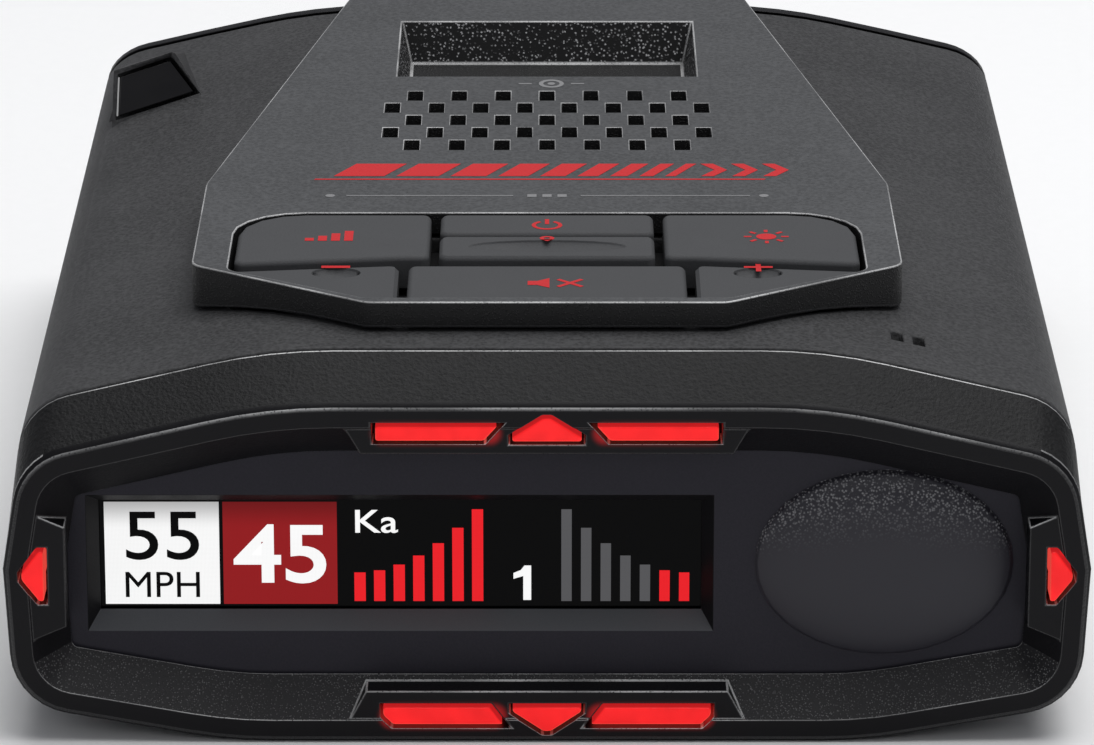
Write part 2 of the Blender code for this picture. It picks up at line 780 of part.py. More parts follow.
def radar_dome():
    """Domed cover over the rear-facing radar antenna, on the fascia."""
    profile = [(1.0, FASCIA_FRONT + FASCIA_THICKNESS / 2)]
    for step in range(7):
        share = math.cos(math.pi / 2 * step / 7)
        profile.append((share, FASCIA_FRONT - DOME_BULGE * math.sqrt(1 - share ** 2)))
    rows = []
    for share, depth in profile:
        oval = circle(0.0, 0.0, share, 36)
        rows.append([
            (DOME_CENTRE[0] + DOME_RADII[0] * a, depth, DOME_CENTRE[1] + DOME_RADII[1] * b)
            for a, b in oval
        ])
    return loft(rows)


def make_display():
    """Fascia, display window and display module."""
    fascia_section = whole_section(case_rise(FASCIA_FRONT), WALL + FASCIA_CLEARANCE)
    opening = loft([display_frame(FASCIA_FRONT - 0.5), display_frame(FASCIA_BACK + 0.5)])
    slots = [offset_loop(stem, -GAP) for stem in light_stems().values()]
    piece(
        "fascia_panel",
        "bezel_black",
        lying(fascia_section, FASCIA_FRONT, FASCIA_BACK),
        join=[radar_dome()],
        cut=[opening] + [lying(slot, FASCIA_FRONT - 1, FASCIA_BACK + 1) for slot in slots],
    )
    for name, finish, lap, front, thickness in (
        ("display_window", "gloss_black", WINDOW_LAP, WINDOW_FRONT, WINDOW_THICKNESS),
        ("display_module", "smoked", MODULE_LAP, MODULE_FRONT, MODULE_THICKNESS),
    ):
        x_span = (DISPLAY_LEFT - lap, DISPLAY_RIGHT + lap)
        z_span = (DISPLAY_BOTTOM - lap, DISPLAY_TOP + lap)
        piece(name, finish, box(x_span, (front, front + thickness), z_span))


def make_front_board():
    """Board behind the display with one lamp behind each light pipe."""
    lamps = []
    for stem in light_stems().values():
        x = sum(point[0] for point in stem) / len(stem)
        z_low = min(point[1] for point in stem)
        z_high = max(point[1] for point in stem)
        middle = (z_low + z_high) / 2
        half = min(LAMP_HALF, (z_high - z_low) / 2 - STEM_TRIM / 2)
        lamp = rectangle((x - half, x + half), (middle - half, middle + half))
        lamps.append(lying(lamp, FRONT_BOARD_FRONT - LAMP_PROUD, FRONT_BOARD_FRONT + GAP))
    mouth_x, mouth_top = REAR_HORN_MOUTH
    hole = rectangle(
        (mouth_x[0] - 2 * GAP, mouth_x[1] + 2 * GAP),
        (PART_FLOOR - 2 * GAP, mouth_top + 2 * GAP),
    )
    piece(
        "front_board",
        "board_green",
        lying(
            whole_section(FRONT_BOARD_RISE, WALL + FRONT_BOARD_CLEARANCE),
            FRONT_BOARD_FRONT,
            FRONT_BOARD_BACK,
        ),
        join=lamps,
        cut=[lying(hole, FRONT_BOARD_FRONT - 1, FRONT_BOARD_BACK + 1)],
    )


# ---- case --------------------------------------------------------------------------------

def post_places():
    """Where the four case screws stand."""
    return [(side * POST_HALF, depth) for side in (-1, 1) for depth in (POST_FRONT, POST_REAR)]


def hump_corner(place, height):
    """Corner of the laser hump at a height above the roof."""
    x, depth = place
    return Vector((x, depth, roof_height(x, depth) + height))


def hump_window(inset, sill):
    """Corners of the hump's window face, drawn in from its edges."""
    corners = [
        hump_corner(HUMP_BASE_LEFT, 0.0),
        hump_corner(HUMP_BASE_RIGHT, 0.0),
        hump_corner(HUMP_TOP_RIGHT, HUMP_HEIGHT),
        hump_corner(HUMP_TOP_LEFT, HUMP_HEIGHT),
    ]
    insets = (sill, inset, inset, inset)
    across = (corners[1] - corners[0]).normalized()
    inwards = (corners[3] - corners[0]).cross(across).normalized()
    moved = []
    for index, corner in enumerate(corners):
        along = (corners[(index + 1) % 4] - corner).normalized()
        behind = (corner - corners[index - 1]).normalized()
        from_last = along * (insets[index - 1] / along.dot(behind.cross(inwards)))
        from_next = behind * (insets[index] / behind.dot(along.cross(inwards)))
        moved.append(corner + from_last + from_next)
    return moved, inwards


def hump_slab(inset, sill, front, back):
    """Slab parallel to the hump's window face."""
    corners, inwards = hump_window(inset, sill)
    return loft([[tuple(corner + inwards * way) for corner in corners] for way in (front, back)])


def laser_hump():
    """Wedge whose top runs back and down into the roof."""
    front = [
        hump_corner(HUMP_BASE_LEFT, -HUMP_BURIED),
        hump_corner(HUMP_BASE_RIGHT, -HUMP_BURIED),
        hump_corner(HUMP_TOP_RIGHT, HUMP_HEIGHT),
        hump_corner(HUMP_TOP_LEFT, HUMP_HEIGHT),
    ]
    rear = []
    for place, buried in (
        (HUMP_BASE_LEFT, HUMP_BURIED + GAP),
        (HUMP_BASE_RIGHT, HUMP_BURIED + GAP),
        (HUMP_TOP_RIGHT, HUMP_BURIED - GAP),
        (HUMP_TOP_LEFT, HUMP_BURIED - GAP),
    ):
        rear.append(hump_corner((place[0], HUMP_END_DEPTH), -buried))
    return loft([front, rear])


def well_corners(clearance):
    """Corners of the key well drawn in by a clearance."""
    half = [
        (WELL_FRONT_HALF, WELL_FRONT),
        (WELL_HALF, WELL_SHOULDER),
        (WELL_HALF, WELL_REAR),
    ]
    return offset_loop(both_sides(half), clearance)


def well_outline(clearance):
    """Key well outline with its rounded rear corners."""
    corner = fillet(WELL_RADIUS, clearance)
    edge = fillet(PANEL_CORNER, clearance)
    return rounded_loop(well_corners(clearance), [edge, edge, corner, corner, edge, edge])


def tub_spans(margin):
    """Spans of the mount recess's tub, grown by a margin."""
    half = RECESS_HALF + TUB_WALL + margin
    depths = (RECESS_DEPTHS[0] - TUB_WALL - margin, RECESS_DEPTHS[1] + TUB_WALL + margin)
    return (-half, half), depths


def power_spans(margin):
    """Depth and height spans of the power socket, grown by a margin."""
    width, height, _ = POWER_SOCKET
    middle = sum(POWER_DEPTHS) / 2
    centre = PART_FLOOR + POWER_HEIGHT / 2
    depths = (middle - width / 2 - margin, middle + width / 2 + margin)
    return depths, (centre - height / 2 - margin, centre + height / 2 + margin)


def usb_spans(margin):
    """Depth and height spans of the data socket, grown by a margin."""
    width, height, _ = USB_SOCKET
    middle = sum(USB_DEPTHS) / 2
    centre = PART_FLOOR + USB_HEIGHT / 2
    depths = (middle - width / 2 - margin, middle + width / 2 + margin)
    return depths, (centre - height / 2 - margin, centre + height / 2 + margin)


def side_rod(radius, x_span, sides=20):
    """Round bar across the right side, on the axis of the earphone socket."""
    middle = sum(AUDIO_DEPTHS) / 2
    height = PART_FLOOR + AUDIO_HEIGHT / 2
    outline = circle(middle, height, radius, sides)
    return loft([[(x, depth, z) for depth, z in outline] for x in x_span])


def side_openings():
    """Holes through the sides of the case for the sockets."""
    left = (-HALF_WIDTH - 2, -JACK_FACE + WALL / 2)
    right = (JACK_FACE - WALL / 2, HALF_WIDTH + 2)
    return [
        box(left, *power_spans(POWER_HOLE_MARGIN)),
        box(right, *usb_spans(USB_HOLE_MARGIN)),
        side_rod(AUDIO_HOLE, right),
    ]


def shell_stations(outer, inner):
    """Front and rear stations of a case half, from its outer and inner right halves."""
    front = []
    rear = []
    for line in (outer, inner):
        front.append([(x, CASE_FRONT, z) for x, z in line[0]])
        rear.append([(x, rear_depth(x, z), z) for x, z in line[1]])
    return [front, rear]


def across(half, start_at_centre):
    """Line from one parting edge to the other, from its right half."""
    if start_at_centre:
        return [(-x, z) for x, z in reversed(half)] + half[1:]
    return half + [(-x, z) for x, z in reversed(half[:-1])]


def make_top_case():
    """Upper half of the case with its screw posts and the laser hump."""
    outer = [across(upper_half(rise, 0.0, True), True) for rise in (BROW_RISE, REAR_RISE)]
    inner = [across(upper_half(rise, WALL, True), True) for rise in (BROW_RISE, REAR_RISE)]
    posts = []
    bores = []
    for x, depth in post_places():
        top = roof_height(x, depth) - WALL / 2
        posts.append(rod(x, depth, POST_RADIUS, PART_FLOOR, top))
        bores.append(rod(x, depth, POST_BORE, PART_FLOOR - 1, POST_BORE_TOP))
    roof = (PARTING_HEIGHT + 5, PANEL_TOP + 5)
    half_x, half_depth = SPEAKER_OPENING_HALF
    speaker = ((-half_x, half_x), (SPEAKER_DEPTH - half_depth, SPEAKER_DEPTH + half_depth))
    slots = []
    for side in (-0.5, 0.5):
        x = MIC_PLACE[0] + side * MIC_SLOT_SPACING
        x_span = (x - MIC_SLOT[0] / 2, x + MIC_SLOT[0] / 2)
        depths = (MIC_PLACE[1] - MIC_SLOT[1] / 2, MIC_PLACE[1] + MIC_SLOT[1] / 2)
        slots.append(box(x_span, depths, roof))
    openings = [
        upright(well_outline(0.0), *roof),
        box(*speaker, roof),
        box(*tub_spans(GAP), roof),
        hump_slab(HUMP_LIP, HUMP_SILL, -2.0, HUMP_POCKET),
    ]
    piece(
        "top_case",
        "soft_black",
        channel(shell_stations(outer, inner)),
        join=posts + [laser_hump()],
        cut=bores + openings + slots + side_openings(),
    )


def make_bottom_case():
    """Lower half of the case with its screw bosses and the label recess."""
    outer = [across(lower_half(0.0, True), False)] * 2
    inner = [across(lower_half(WALL, True), False)] * 2
    bosses = []
    holes = []
    floor_slope = CHINE_HEIGHT / (SOLE_INBOARD - CHINE_INBOARD)
    for x, depth in post_places():
        floor = floor_slope * (abs(x) - HALF_WIDTH + SOLE_INBOARD) + WALL / 2
        boss_top = BOARD_BOTTOM - GAP
        bosses.append(rod(x, depth, BOSS_RADIUS, floor, boss_top, 20))
        holes.append(rod(x, depth, SCREW_RADIUS + SCREW_CLEARANCE, -1, boss_top + 1))
        holes.append(rod(x, depth, SCREW_HEAD_RADIUS + SCREW_CLEARANCE, -1, SCREW_SEAT, 20))
    recess = box(
        (-LABEL_HALF - GAP, LABEL_HALF + GAP),
        (LABEL_DEPTHS[0] - GAP, LABEL_DEPTHS[1] + GAP),
        (-1, LABEL_LIFT + LABEL_THICKNESS + GAP),
    )
    piece(
        "bottom_case",
        "soft_black",
        channel(shell_stations(outer, inner)),
        join=bosses,
        cut=holes + [recess] + side_openings(),
    )


def make_screws():
    """Four case screws, driven from below."""
    names = ("rear_left", "front_left", "rear_right", "front_right")
    order = (1, 0, 3, 2)
    places = post_places()
    for name, index in zip(names, order):
        x, depth = places[index]
        head_top = SCREW_SEAT - GAP
        profile = [
            (SCREW_HEAD_RADIUS, SCREW_HEAD_BOTTOM),
            (SCREW_HEAD_RADIUS, head_top),
            (SCREW_RADIUS, head_top),
            (SCREW_RADIUS, SCREW_TOP),
        ]
        piece(f"case_screw_{name}", "screw_black", turned(x, depth, profile, 16))


# ---- control panel and keys --------------------------------------------------------------

def panel_outline():
    """Outline of the control panel, waisted towards the rear, with a bowed rear edge."""
    rear = []
    steps = 4
    for step in range(steps + 1):
        x = PANEL_REAR_HALF * (1 - step / steps)
        rear.append((x, rear_depth(x, REAR_TOP) + PANEL_OVERHANG))
    half = [
        (0.0, PANEL_FRONT),
        (PANEL_FRONT_HALF, PANEL_FRONT),
        (PANEL_HALF, PANEL_SIDE[0]),
        (PANEL_HALF, PANEL_SIDE[1]),
    ] + rear
    radii = [2.0, 2.0, 6.0, 1.0] + [0.0] * (steps - 1)
    segments = [3, 3, 3, 2] + [1] * (steps - 1)
    return both_sides(rounded_line(half, radii, segments, [0] * (len(half) - 1)))


def grille_holes():
    """Staggered slots over the speaker."""
    holes = []
    for row in range(GRILLE_ROWS):
        depth = GRILLE_FRONT + row * GRILLE_PITCH
        count = GRILLE_MOST - 1 if row % 2 == 0 else GRILLE_MOST
        for column in range(count):
            x = (column - (count - 1) / 2) * GRILLE_PITCH
            x_span = (x - GRILLE_HOLE[0] / 2, x + GRILLE_HOLE[0] / 2)
            depths = (depth - GRILLE_HOLE[1] / 2, depth + GRILLE_HOLE[1] / 2)
            holes.append(box(x_span, depths, (PANEL_TOP - 5, PANEL_TOP + 1)))
    return together(holes)


def mount_recess():
    """Drafted pocket that takes the windscreen mount's foot."""
    rows = []
    for way in (-RECESS_DROP, 1.0):
        draft = RECESS_DRAFT * (-way / RECESS_DROP)
        half = RECESS_HALF - draft
        depths = (RECESS_DEPTHS[0] + draft, RECESS_DEPTHS[1] - draft)
        outline = rectangle((-half, half), depths)
        rows.append([(x, depth, PANEL_TOP + way) for x, depth in outline])
    return loft(rows)


def envelope(stand):
    """The case's outer section, grown, as a solid that runs past both ends."""
    last = REAR_CREST_DEPTH + ENVELOPE_OVERRUN
    return loft([section_at(d, -stand, case_rise(d)) for d in (BROW_DEPTH, last)])


def make_panel():
    """Raised control panel with the key well, the grille and the mount recess."""
    tub_x, tub_depths = tub_spans(0.0)
    piece(
        "control_panel",
        "panel_grey",
        upright(panel_outline(), PANEL_TOP - PANEL_DEPTH_BELOW, PANEL_TOP),
        cut=[envelope(GAP)],
    )
    panel = bpy.data.objects["control_panel"]
    tub = box(tub_x, tub_depths, (TUB_BOTTOM, PANEL_TOP - PANEL_STAND / 2))
    combine(panel, [tub], "UNION")
    well = upright(well_outline(0.0), PANEL_TOP - PANEL_DEPTH_BELOW, PANEL_TOP + 1)
    combine(panel, [well, grille_holes(), mount_recess()], "DIFFERENCE")
    outward(panel.data)
    panel.data.shade_smooth()
    panel.data.set_sharp_from_angle(angle=math.radians(30))


def split_depth(x):
    """Depth of the line between the two rows of keys, swept forward at the sides."""
    start = MUTE_HALF
    end = WELL_HALF - KEY_CLEARANCE
    share = max(abs(x) - start, 0.0) / (end - start)
    return KEY_SPLIT - KEY_SWEEP * share


def key_outlines():
    """Outline of each key, by name."""
    corners = well_corners(KEY_CLEARANCE)
    front_x, front = corners[0]
    side_x, side_depth = corners[1]
    rear = corners[2][1]
    half_gap = KEY_GAP / 2
    volume = [
        (MUTE_HALF + half_gap, front),
        (front_x, front),
        (side_x, side_depth),
        (side_x, split_depth(side_x) - half_gap),
        (MUTE_HALF + half_gap, KEY_SPLIT - half_gap),
    ]
    outer = [
        (CENTRE_HALF + half_gap, KEY_SPLIT + half_gap),
        (MUTE_HALF + half_gap, KEY_SPLIT + half_gap),
        (side_x, split_depth(side_x) + half_gap),
        (side_x, rear),
        (CENTRE_HALF + half_gap, rear),
    ]
    mute_x = (half_gap - MUTE_HALF, MUTE_HALF - half_gap)
    centre_x = (half_gap - CENTRE_HALF, CENTRE_HALF - half_gap)
    edge = KEY_CORNER
    rear_corner = fillet(WELL_RADIUS, KEY_CLEARANCE)
    volume = rounded_loop(volume, [edge, edge, 0.1, 0.1, edge], 3)
    outer = rounded_loop(outer, [edge, 0.0, edge, rear_corner, edge], 4)
    mute = rectangle(mute_x, (front, KEY_SPLIT - half_gap))
    mark = rectangle(centre_x, (KEY_SPLIT + half_gap, CENTRE_SPLIT - half_gap))
    power = rectangle(centre_x, (CENTRE_SPLIT + half_gap, rear))
    return {
        "key_volume_up": volume,
        "key_volume_down": mirrored(volume),
        "key_mute": rounded_loop(mute, [edge] * 4, 3),
        "key_brightness": outer,
        "key_sensitivity": mirrored(outer),
        "key_mark": rounded_loop(mark, [edge] * 4, 3),
        "key_power": rounded_loop(power, [edge] * 4, 3),
    }


def key_stems():
    """Where each key's stem stands."""
    front = WELL_FRONT + KEY_CLEARANCE
    lower = (front + KEY_SPLIT) / 2
    upper = (KEY_SPLIT + WELL_REAR) / 2
    volume_x = (MUTE_HALF + WELL_HALF) / 2 - KEY_SWEEP
    outer_x = (CENTRE_HALF + WELL_HALF) / 2
    return {
        "key_volume_up": (volume_x, lower + 2 * KEY_CORNER),
        "key_volume_down": (-volume_x, lower + 2 * KEY_CORNER),
        "key_mute": (0.0, lower),
        "key_brightness": (outer_x, upper),
        "key_sensitivity": (-outer_x, upper),
        "key_mark": (0.0, (KEY_SPLIT + CENTRE_SPLIT) / 2),
        "key_power": (0.0, (CENTRE_SPLIT + WELL_REAR) / 2 - KEY_CORNER),
    }


def finger_dimples():
    """Hollow in the top of some keys: its half sizes, and how far behind the stem it is."""
    return {
        "key_volume_up": (VOLUME_DIMPLE, VOLUME_DIMPLE_SET_BACK),
        "key_volume_down": (VOLUME_DIMPLE, VOLUME_DIMPLE_SET_BACK),
        "key_mark": (MARK_DIMPLE, 0.0),
    }


def make_keys():
    """Seven keys, each with its stem, and the plunger under each."""
    stems = key_stems()
    dimples = finger_dimples()
    floor = PANEL_TOP - KEY_FLOOR_DROP
    stem_end = PANEL_TOP - STEM_DROP
    for name, outline in key_outlines().items():
        lower_row = name in ("key_volume_up", "key_volume_down", "key_mute")
        top = PANEL_TOP - (KEY_LOWER_DROP if lower_row else 0.0)
        x, depth = stems[name]
        levels = [(outline, floor), (outline, top - KEY_EDGE)]
        levels.append((offset_loop(outline, KEY_EDGE), top))
        body = loft([[(a, b, z) for a, b in points] for points, z in levels])
        hollows = []
        if name in dimples:
            half_sizes, set_back = dimples[name]
            hollows.append(bowl(x, depth + set_back, top + DIMPLE_LIFT, half_sizes))
        piece(
            name,
            "key_rubber",
            body,
            join=[rod(x, depth, STEM_RADIUS, stem_end, floor + GAP, 12)],
            cut=hollows,
            origin=(x, depth, top),
        )
        plunger_top = stem_end - GAP
        piece(
            name.replace("key", "plunger"),
            "port_black",
            rod(x, depth, PLUNGER_RADIUS, plunger_top - PLUNGER_LENGTH, plunger_top, 12),
            origin=(x, depth, plunger_top),
        )


def make_key_support():
    """Rubber mat around the stems and the board with a switch under each key."""
    mat_top = PANEL_TOP - MAT_DROP
    mat_bottom = mat_top - MAT_THICKNESS
    board_top = PANEL_TOP - KEY_BOARD_DROP
    skirt_bottom = board_top + GAP
    hollow = upright(well_outline(GAP + MAT_SKIRT), skirt_bottom - 1, mat_bottom)
    holes = [rod(x, d, MAT_HOLE, mat_bottom - 1, mat_top + 1, 12) for x, d in key_stems().values()]
    piece(
        "key_mat",
        "port_black",
        upright(well_outline(GAP), skirt_bottom, mat_top),
        cut=[hollow] + holes,
    )
    switches = []
    bores = []
    for x, depth in key_stems().values():
        x_span = (x - SWITCH_HALF, x + SWITCH_HALF)
        depths = (depth - SWITCH_HALF, depth + SWITCH_HALF)
        switches.append(box(x_span, depths, (board_top - GAP, board_top + SWITCH_HEIGHT)))
        bore_bottom = board_top - BORE_BELOW_BOARD_TOP
        bores.append(rod(x, depth, SWITCH_BORE, bore_bottom, board_top + 3, 12))
    piece(
        "key_board",
        "board_green",
        box(
            (-KEY_BOARD_HALF, KEY_BOARD_HALF),
            (KEY_BOARD_FRONT, WELL_REAR + KEY_BOARD_PAST_WELL),
            (board_top - KEY_BOARD_THICKNESS, board_top),
        ),
        join=switches,
        cut=bores,
    )


# ---- inside the top ----------------------------------------------------------------------

def make_speaker():
    """Speaker under the grille, with the mesh above it."""
    roof = BEZEL_HEIGHT + case_rise(SPEAKER_DEPTH)
    half_x, half_depth = SPEAKER_OPENING_HALF
    mesh_top = roof - MESH_DROP
    depths = (SPEAKER_DEPTH - half_depth + GAP, SPEAKER_DEPTH + half_depth - GAP)
    mesh = box((GAP - half_x, half_x - GAP), depths, (mesh_top - MESH_THICKNESS, mesh_top))
    piece("speaker_mesh", "paper_cone", mesh)
    rim_top = BEZEL_HEIGHT + case_rise(SPEAKER_DEPTH - SPEAKER_RADIUS) - WALL - GAP
    basket = rim_top - SPEAKER_BASKET
    frame = [
        (SPEAKER_RADIUS, rim_top),
        (SPEAKER_RADIUS, rim_top - SPEAKER_RIM),
        (MAGNET_RADIUS + 1, basket),
        (MAGNET_RADIUS - 2, basket),
        (MAGNET_RADIUS, basket + SPEAKER_RIM),
        (CONE_RADIUS + GAP, rim_top - SPEAKER_RIM / 2),
        (CONE_RADIUS + GAP, rim_top),
    ]
    piece("speaker_frame", "port_black", turned(0.0, SPEAKER_DEPTH, frame, 28, hollow=True))
    cone_top = rim_top - GAP
    cone = [
        (0.4, cone_top - CONE_DROP + 0.6),
        (3.0, cone_top - CONE_DROP + 0.2),
        (CONE_RADIUS, cone_top),
        (CONE_RADIUS, cone_top - 0.3),
        (3.4, cone_top - CONE_DROP - 0.3),
        (0.4, cone_top - CONE_DROP - 0.3),
    ]
    piece("speaker_cone", "paper_cone", turned(0.0, SPEAKER_DEPTH, cone, 28))
    magnet_top = basket - GAP
    magnet = rod(0.0, SPEAKER_DEPTH, MAGNET_RADIUS, magnet_top - MAGNET_HEIGHT, magnet_top, 28)
    piece("speaker_magnet", "zinc", magnet)


def make_roof_parts():
    """Mount magnets under the recess, and the microphone under its slots."""
    top = TUB_BOTTOM - GAP
    middle = sum(RECESS_DEPTHS) / 2
    for name, side in (("left", -1), ("right", 1)):
        x = side * MOUNT_MAGNET_HALF_SPACING
        magnet = rod(x, middle, MOUNT_MAGNET_RADIUS, top - MOUNT_MAGNET_HEIGHT, top, 20)
        piece(f"mount_magnet_{name}", "zinc", magnet)
    x, depth = MIC_PLACE
    mic_top = roof_height(x + MIC_RADIUS, depth) - WALL - GAP
    piece("microphone", "tin", rod(x, depth, MIC_RADIUS, mic_top - MIC_THICKNESS, mic_top))


# ---- rear end ----------------------------------------------------------------------------

def make_rear():
    """Frame around the rear end and the radome cover inside it."""
    edge = FRAME_REACH - FRAME_EDGE
    rows = [
        section_behind(GAP, FRAME_GROOVE_INSET),
        section_behind(GAP + FRAME_GROOVE, FRAME_GROOVE_INSET),
        section_behind(GAP + FRAME_GROOVE, 0.0),
        section_behind(edge, 0.0),
        section_behind(FRAME_REACH, FRAME_EDGE),
        section_behind(FRAME_REACH, FRAME_WIDTH),
        section_behind(GAP, FRAME_WIDTH),
    ]
    piece("rear_frame", "bezel_black", ring(rows))
    inset = max(FRAME_WIDTH, WALL) + GAP
    half = upper_half(REAR_RISE, inset, False) + lower_half(inset, False)[1:]
    highest = half[0][1]
    crest_end = [point for point in half if abs(point[1] - highest) < 1e-6][-1]
    sole_end = [point for point in half if abs(point[1] - inset) < 1e-6][0]
    slopes = [point for point in half if inset + 1e-6 < point[1] < highest - 1e-6]
    rows = [(-x, x, z) for x, z in [crest_end] + slopes + [sole_end]]
    cover = rear_patch(rows, -COVER_SEAT, COVER_REACH, COVER_COLUMNS)
    cut = road_laser_patch(GAP, -3.0, 5.0)
    piece("radome_cover", "soft_black", cover, cut=[cut])


def rear_patch(rows, near, far, columns):
    """Plate that follows the rear end; each row is (left x, right x, z)."""
    grids = []
    for offset in (near, far):
        grid = []
        for left, right, z in rows:
            xs = [left + (right - left) * step / columns for step in range(columns + 1)]
            grid.append([(x, rear_depth(x, z) + offset, z) for x in xs])
        grids.append(grid)
    return plate(*grids)


def road_laser_patch(margin, near, far):
    """Plate over the forward laser receiver, grown by a margin."""
    x, z = ROAD_LASER_CENTRE
    half_x, half_z = (half + margin for half in ROAD_LASER_HALF)
    steps = 4
    heights = [z + half_z * (1 - 2 * step / steps) for step in range(steps + 1)]
    rows = [(x - half_x, x + half_x, height) for height in heights]
    return rear_patch(rows, near, far, steps)


def make_lasers():
    """Windows and receivers of both lasers."""
    near = COVER_REACH - ROAD_LASER_RECESS - ROAD_LASER_THICKNESS
    window = road_laser_patch(0.0, near, near + ROAD_LASER_THICKNESS)
    piece("front_laser_window", "smoked", window)
    x, z = ROAD_LASER_CENTRE
    depths = tuple(BODY_LENGTH - distance for distance in ROAD_SENSOR_FROM_END)
    half = ROAD_SENSOR_HALF
    sensor = box((x - half, x + half), depths, (z - half, z + half))
    piece("front_laser_sensor", "port_black", sensor)
    back = HUMP_RECESS + HUMP_WINDOW
    inset = HUMP_LIP + GAP
    sill = HUMP_SILL + GAP
    piece("rear_laser_window", "smoked", hump_slab(inset, sill, HUMP_RECESS, back))
    sensor = hump_slab(2 * inset, 2 * sill, back + GAP, HUMP_POCKET - GAP)
    piece("rear_laser_sensor", "port_black", sensor)


# ---- inside the case ---------------------------------------------------------------------

def make_main_board():
    """Main board and the parts that stand on it."""
    half = HALF_WIDTH - BOARD_INBOARD
    board_depths = (BOARD_FRONT, BODY_LENGTH - BOARD_FROM_END)
    holes = []
    for x, depth in post_places():
        radius = SCREW_RADIUS + SCREW_CLEARANCE
        holes.append(rod(x, depth, radius, BOARD_BOTTOM - 1, BOARD_TOP + 1))
    board = box((-half, half), board_depths, (BOARD_BOTTOM, BOARD_TOP))
    piece("main_board", "board_green", board, cut=holes)
    for name, finish, (x_span, depths, height) in (
        ("shield_can", "tin", SHIELD),
        ("gps_antenna", "ceramic", GPS),
        ("bluetooth_module", "tin", BLUETOOTH),
    ):
        piece(name, finish, box(x_span, depths, (PART_FLOOR, PART_FLOOR + height)))


def make_sockets():
    """Power socket on the left; data and earphone sockets on the right."""
    back = -JACK_FACE + POWER_LENGTH
    block = box((-JACK_FACE, back), POWER_DEPTHS, (PART_FLOOR, PART_FLOOR + POWER_HEIGHT))
    mouth = (-JACK_FACE - 1, -JACK_FACE + POWER_SOCKET[2])
    piece("power_jack", "port_black", block, cut=[box(mouth, *power_spans(0.0))])
    front = JACK_FACE - USB_LENGTH
    block = box((front, JACK_FACE), USB_DEPTHS, (PART_FLOOR, PART_FLOOR + USB_HEIGHT))
    mouth = (JACK_FACE - USB_SOCKET[2], JACK_FACE + 1)
    piece("usb_port", "tin", block, cut=[box(mouth, *usb_spans(0.0))])
    front = JACK_FACE - AUDIO_LENGTH
    block = box((front, JACK_FACE), AUDIO_DEPTHS, (PART_FLOOR, PART_FLOOR + AUDIO_HEIGHT))
    bore = side_rod(AUDIO_BORE, (JACK_FACE - AUDIO_REACH, JACK_FACE + 1))
    piece("audio_jack", "port_black", block, cut=[bore])


def horn_row(x_span, z_span, depth_low, depth_high, shrink=0.0):
    """One rectangular station of a horn; its top may stand at another depth."""
    x0, x1 = x_span[0] + shrink, x_span[1] - shrink
    z0, z1 = z_span[0] + shrink, z_span[1] - shrink
    return [(x0, depth_low, z0), (x1, depth_low, z0), (x1, depth_high, z1), (x0, depth_high, z1)]


def make_horns():
    """Two horn antennas, open at their mouths."""
    throat_depth, low_depth, high_depth = (BODY_LENGTH - d for d in FRONT_HORN_FROM_END)
    mouth_x, mouth_top = FRONT_HORN_MOUTH
    mouth_z = (PART_FLOOR, mouth_top)
    throat = horn_row(*FRONT_HORN_THROAT, throat_depth, throat_depth)
    mouth = horn_row(mouth_x, mouth_z, low_depth, high_depth)
    inner_depth = throat_depth + HORN_WALL
    inner = [
        horn_row(*FRONT_HORN_THROAT, inner_depth, inner_depth, HORN_WALL),
        horn_row(mouth_x, mouth_z, low_depth + 1, high_depth + 1, HORN_WALL),
    ]
    piece("front_horn", "zinc", loft([throat, mouth]), cut=[loft(inner)])
    mouth_x, mouth_top = REAR_HORN_MOUTH
    mouth_z = (PART_FLOOR, mouth_top)
    mouth_depth = FASCIA_BACK + GAP
    throat = horn_row(*REAR_HORN_THROAT, REAR_HORN_END, REAR_HORN_END)
    mouth = horn_row(mouth_x, mouth_z, mouth_depth, mouth_depth)
    inner_depth = REAR_HORN_END - HORN_WALL
    inner = [
        horn_row(*REAR_HORN_THROAT, inner_depth, inner_depth, HORN_WALL),
        horn_row(mouth_x, mouth_z, mouth_depth - 1, mouth_depth - 1, HORN_WALL),
    ]
    piece("rear_horn", "zinc", loft([throat, mouth]), cut=[loft(inner)])


def make_label():
    """Blank rating plate, just above the surface that the object rests on."""
    heights = (LABEL_LIFT, LABEL_LIFT + LABEL_THICKNESS)
    piece("label_plate", "label_grey", box((-LABEL_HALF, LABEL_HALF), LABEL_DEPTHS, heights))


def main():
    """Clear the scene and build every piece."""
    for item in list(bpy.data.objects):
        bpy.data.objects.remove(item)
    make_bezel()
    make_lights()
    make_display()
    make_front_board()
    make_top_case()
    make_bottom_case()
    make_screws()
    make_panel()
    make_keys()
    make_key_support()
    make_speaker()
    make_roof_parts()
    make_rear()
    make_lasers()
    make_main_board()
    make_sockets()
    make_horns()
    make_label()


main()
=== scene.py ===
"""Finished surfaces of a radar detector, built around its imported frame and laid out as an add-on."""

import json
import math

import bmesh
import bpy
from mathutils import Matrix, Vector
from mathutils.geometry import delaunay_2d_cdt

